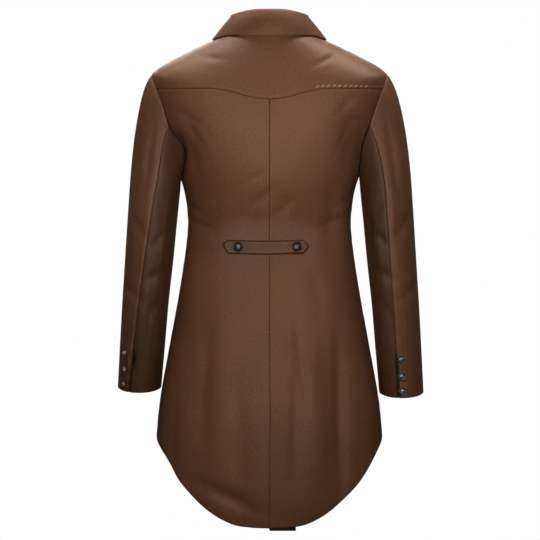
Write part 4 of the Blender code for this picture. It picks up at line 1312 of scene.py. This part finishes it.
def rosette(place, radius):
    """How far a point of a button lies from its middle, and how far up a petal, in radii."""
    out = Vector(place[:2]).length / radius
    share = min(max(out - ROSETTE_START, 0.0) / (ROSETTE_END - ROSETTE_START), 1.0)
    return out, np.cos(PETALS * np.arctan2(place.y, place.x)) * np.sin(share * np.pi)


def rubbed(place, radius):
    """How bright a point of a button is rubbed, and how far it lies from the middle, in radii."""
    out, petal = rosette(place, radius)
    if out > RIM_START:
        bright = (place.z / radius - FACE_LEVEL) / (CREST_LEVEL - FACE_LEVEL) * RIM_SHINE
    else:
        bright = PETAL_SHINE + PETAL_SWING * petal + BOSS_SHINE * max(0.0, 1 - out / BOSS_RADIUS)
    return min(max(bright, 0.0), 1.0) * (1 - LEAST_SHINE) + LEAST_SHINE, out


def button(node, place, way, radius, shine=0.8, dome=1.0):
    """A domed metal button with a rosette, a ring of beads and a rolled rim."""
    bm = bmesh.new()
    outline = [
        bm.verts.new((out * radius, 0.0, (up + max(up - DOME_FOOT, 0.0) * dome) * radius))
        for out, up in BUTTON_PROFILE
    ]
    edges = [bm.edges.new(pair) for pair in zip(outline, outline[1:])]
    bmesh.ops.spin(
        bm, geom=outline + edges, cent=(0, 0, 0), axis=(0, 0, 1), dvec=(0, 0, 0),
        angle=TURN, steps=BUTTON_SIDES, use_merge=True, use_duplicate=False,
    )
    bmesh.ops.remove_doubles(bm, verts=bm.verts, dist=CLOSE / 4)
    for vert in bm.verts:
        _, petal = rosette(vert.co, radius)
        if vert.co.z > FACE_LEVEL * radius:
            vert.co.z += radius * PETAL_RISE * petal
    for angle in spread(0.0, TURN, BEADS)[:-1]:
        spot = Vector((np.cos(angle) * BEAD_RING, np.sin(angle) * BEAD_RING, BEAD_LEVEL))
        bmesh.ops.create_icosphere(
            bm, subdivisions=2, radius=BEAD_RADIUS * radius,
            matrix=Matrix.Translation(spot * radius),
        )
    bmesh.ops.recalc_face_normals(bm, faces=bm.faces)
    relief_map = bm.loops.layers.uv.new("relief")
    for face in bm.faces:
        for loop in face.loops:
            bright, out = rubbed(loop.vert.co, radius)
            loop[relief_map].uv = (bright * shine, out)
    turn = Vector(way).to_track_quat("Z", "Y").to_matrix().to_4x4()
    bmesh.ops.transform(bm, matrix=Matrix.Translation(Vector(place)) @ turn, verts=bm.verts)
    dress(finished(bm, node + "_metal"), [node], "button_metal", metal)


def buttons():
    for x, tilt, node in BELT_BUTTONS:
        place = back_place(x, belt_middle(x))
        base = body_cloth(place, BELT_LIFT + FRAME_HALF_WALL + BUTTON_SEAT, fine=False)
        way = form_normal(*place) + (0.0, 0.0, tilt)
        button(node, base, unit(way), LARGE_BUTTON, BELT_BUTTON_SHINE)
    for number in range(FRONT_BUTTONS):
        height = FRONT_BUTTON_TOP - FRONT_BUTTON_STEP * number
        place = pairs(180.0, level_at(180.0, height))
        base = body_cloth(place, LAP / 2 + FRAME_HALF_WALL + BUTTON_SEAT, fine=False)
        button(f"front_button_{number + 1}", base, form_normal(*place), LARGE_BUTTON)
    length = SLEEVE[0].height - SLEEVE[-1].height
    for word, side in SIDES:
        for number, above in enumerate(CUFF_BUTTON_HEIGHTS, start=1):
            turn, depth = CUFF_BUTTON_ANGLE[side], 1 - above / length
            here = sleeve_point(turn, depth, side)
            out = unit(sleeve_point(turn, depth, side, CUFF_BUTTON) - here)
            base = here + out * (FRAME_HALF_WALL + BUTTON_SEAT)
            node = f"cuff_button_{word}_{number}"
            button(node, base, out, CUFF_BUTTON, 1.0, CUFF_BUTTON_DOME)


# Stage, light and camera

CAMERA_DISTANCE = 10.0
PICTURE_PLANE = 0.03        # how far behind the nape the picture is true to size
PICTURE_WIDTH = 1.026       # of the whole 540 pixel frame, in metres
PICTURE_MIDDLE = (-0.0011, -0.4608)
FLOOR_HEIGHT, FLOOR_RADIUS, FLOOR_SIDES = -1.48, 3.0, 96
FLOOR_GLOW, FLOOR_ROUGHNESS = 0.55, 0.9
WHITE, PALE = (1.0, 1.0, 1.0, 1.0), (0.86, 0.86, 0.86, 1.0)
SENSOR_WIDTH = 36.0
WORLD_LIGHT = 0.05
AreaLight = namedtuple("AreaLight", "name place target size power")
LIGHTS = table(
    AreaLight,
    ("key", (0.0, 1.25, -0.12), (0.0, 0.0, -0.22), 0.7, 3.7),
    ("near", (0.0, 0.9, -0.24), (0.0, 0.0, -0.22), 0.5, 4.0),
    ("side_left", (1.3, 1.3, 0.3), (0.0, 0.0, -0.25), 0.8, 1.0),
    ("side_right", (-1.3, 1.3, 0.3), (0.0, 0.0, -0.25), 0.8, 1.6),
    ("shoulder_left", (0.66, -0.32, 1.4), (0.12, 0.0, -0.05), 0.5, 25.0),
    ("shoulder_right", (-0.66, -0.32, 1.4), (-0.12, 0.0, -0.05), 0.5, 27.0),
    ("front_fill", (0.3, -3.4, 1.0), (0.0, 0.0, -0.45), 1.8, 60.0),
)


def area_light(lamp):
    data = bpy.data.lights.new(lamp.name, "AREA")
    data.size = lamp.size
    data.energy = lamp.power
    light = bpy.data.objects.new(lamp.name, data)
    light.location = lamp.place
    light.visible_camera = False
    light.rotation_mode = "QUATERNION"
    way = Vector(lamp.target) - Vector(lamp.place)
    light.rotation_quaternion = way.to_track_quat("-Z", "Y")
    bpy.context.scene.collection.objects.link(light)


def studio():
    """A pale floor and a white background that hardly light the jacket, and the lights that do."""
    bm = bmesh.new()
    bmesh.ops.create_circle(bm, cap_ends=True, segments=FLOOR_SIDES, radius=FLOOR_RADIUS)
    bmesh.ops.translate(bm, vec=(0, 0, FLOOR_HEIGHT), verts=bm.verts)
    floor = finished(bm, "floor")
    bpy.context.scene.collection.objects.link(floor)
    floor.visible_diffuse = False
    floor.visible_glossy = False
    paint = Finish(
        "pale_floor",
        Base_Color=PALE,
        Roughness=FLOOR_ROUGHNESS,
        Emission_Color=WHITE,
        Emission_Strength=FLOOR_GLOW,
    )
    floor.data.materials.append(paint.material)

    world = bpy.data.worlds.new("white_studio")
    world.use_nodes = True
    bpy.context.scene.world = world
    nodes, links = world.node_tree.nodes, world.node_tree.links
    dim, white = nodes["Background"], nodes.new("ShaderNodeBackground")
    for background, strength in ((dim, WORLD_LIGHT), (white, 1.0)):
        background.inputs["Color"].default_value = WHITE
        background.inputs["Strength"].default_value = strength
    seen = nodes.new("ShaderNodeLightPath")
    blend = nodes.new("ShaderNodeMixShader")
    links.new(seen.outputs["Is Camera Ray"], blend.inputs[0])
    links.new(dim.outputs[0], blend.inputs[1])
    links.new(white.outputs[0], blend.inputs[2])
    links.new(blend.outputs[0], nodes["World Output"].inputs["Surface"])

    for lamp in LIGHTS:
        area_light(lamp)


def camera():
    data = bpy.data.cameras.new("photo_view")
    data.sensor_width = SENSOR_WIDTH
    data.lens = data.sensor_width * (CAMERA_DISTANCE + PICTURE_PLANE) / PICTURE_WIDTH
    view = bpy.data.objects.new("photo_view", data)
    view.location = (PICTURE_MIDDLE[0], CAMERA_DISTANCE, PICTURE_MIDDLE[1])
    view.rotation_euler = (np.pi / 2, 0.0, np.pi)
    bpy.context.scene.collection.objects.link(view)
    bpy.context.scene.camera = view


bpy.context.scene.view_settings.view_transform = "Standard"
yoke()
backs()
for word, side in SIDES:
    front(word, side)
collar()
for word, side in SIDES:
    sleeve(word, side)
half_belt()
buttons()
studio()
camera()
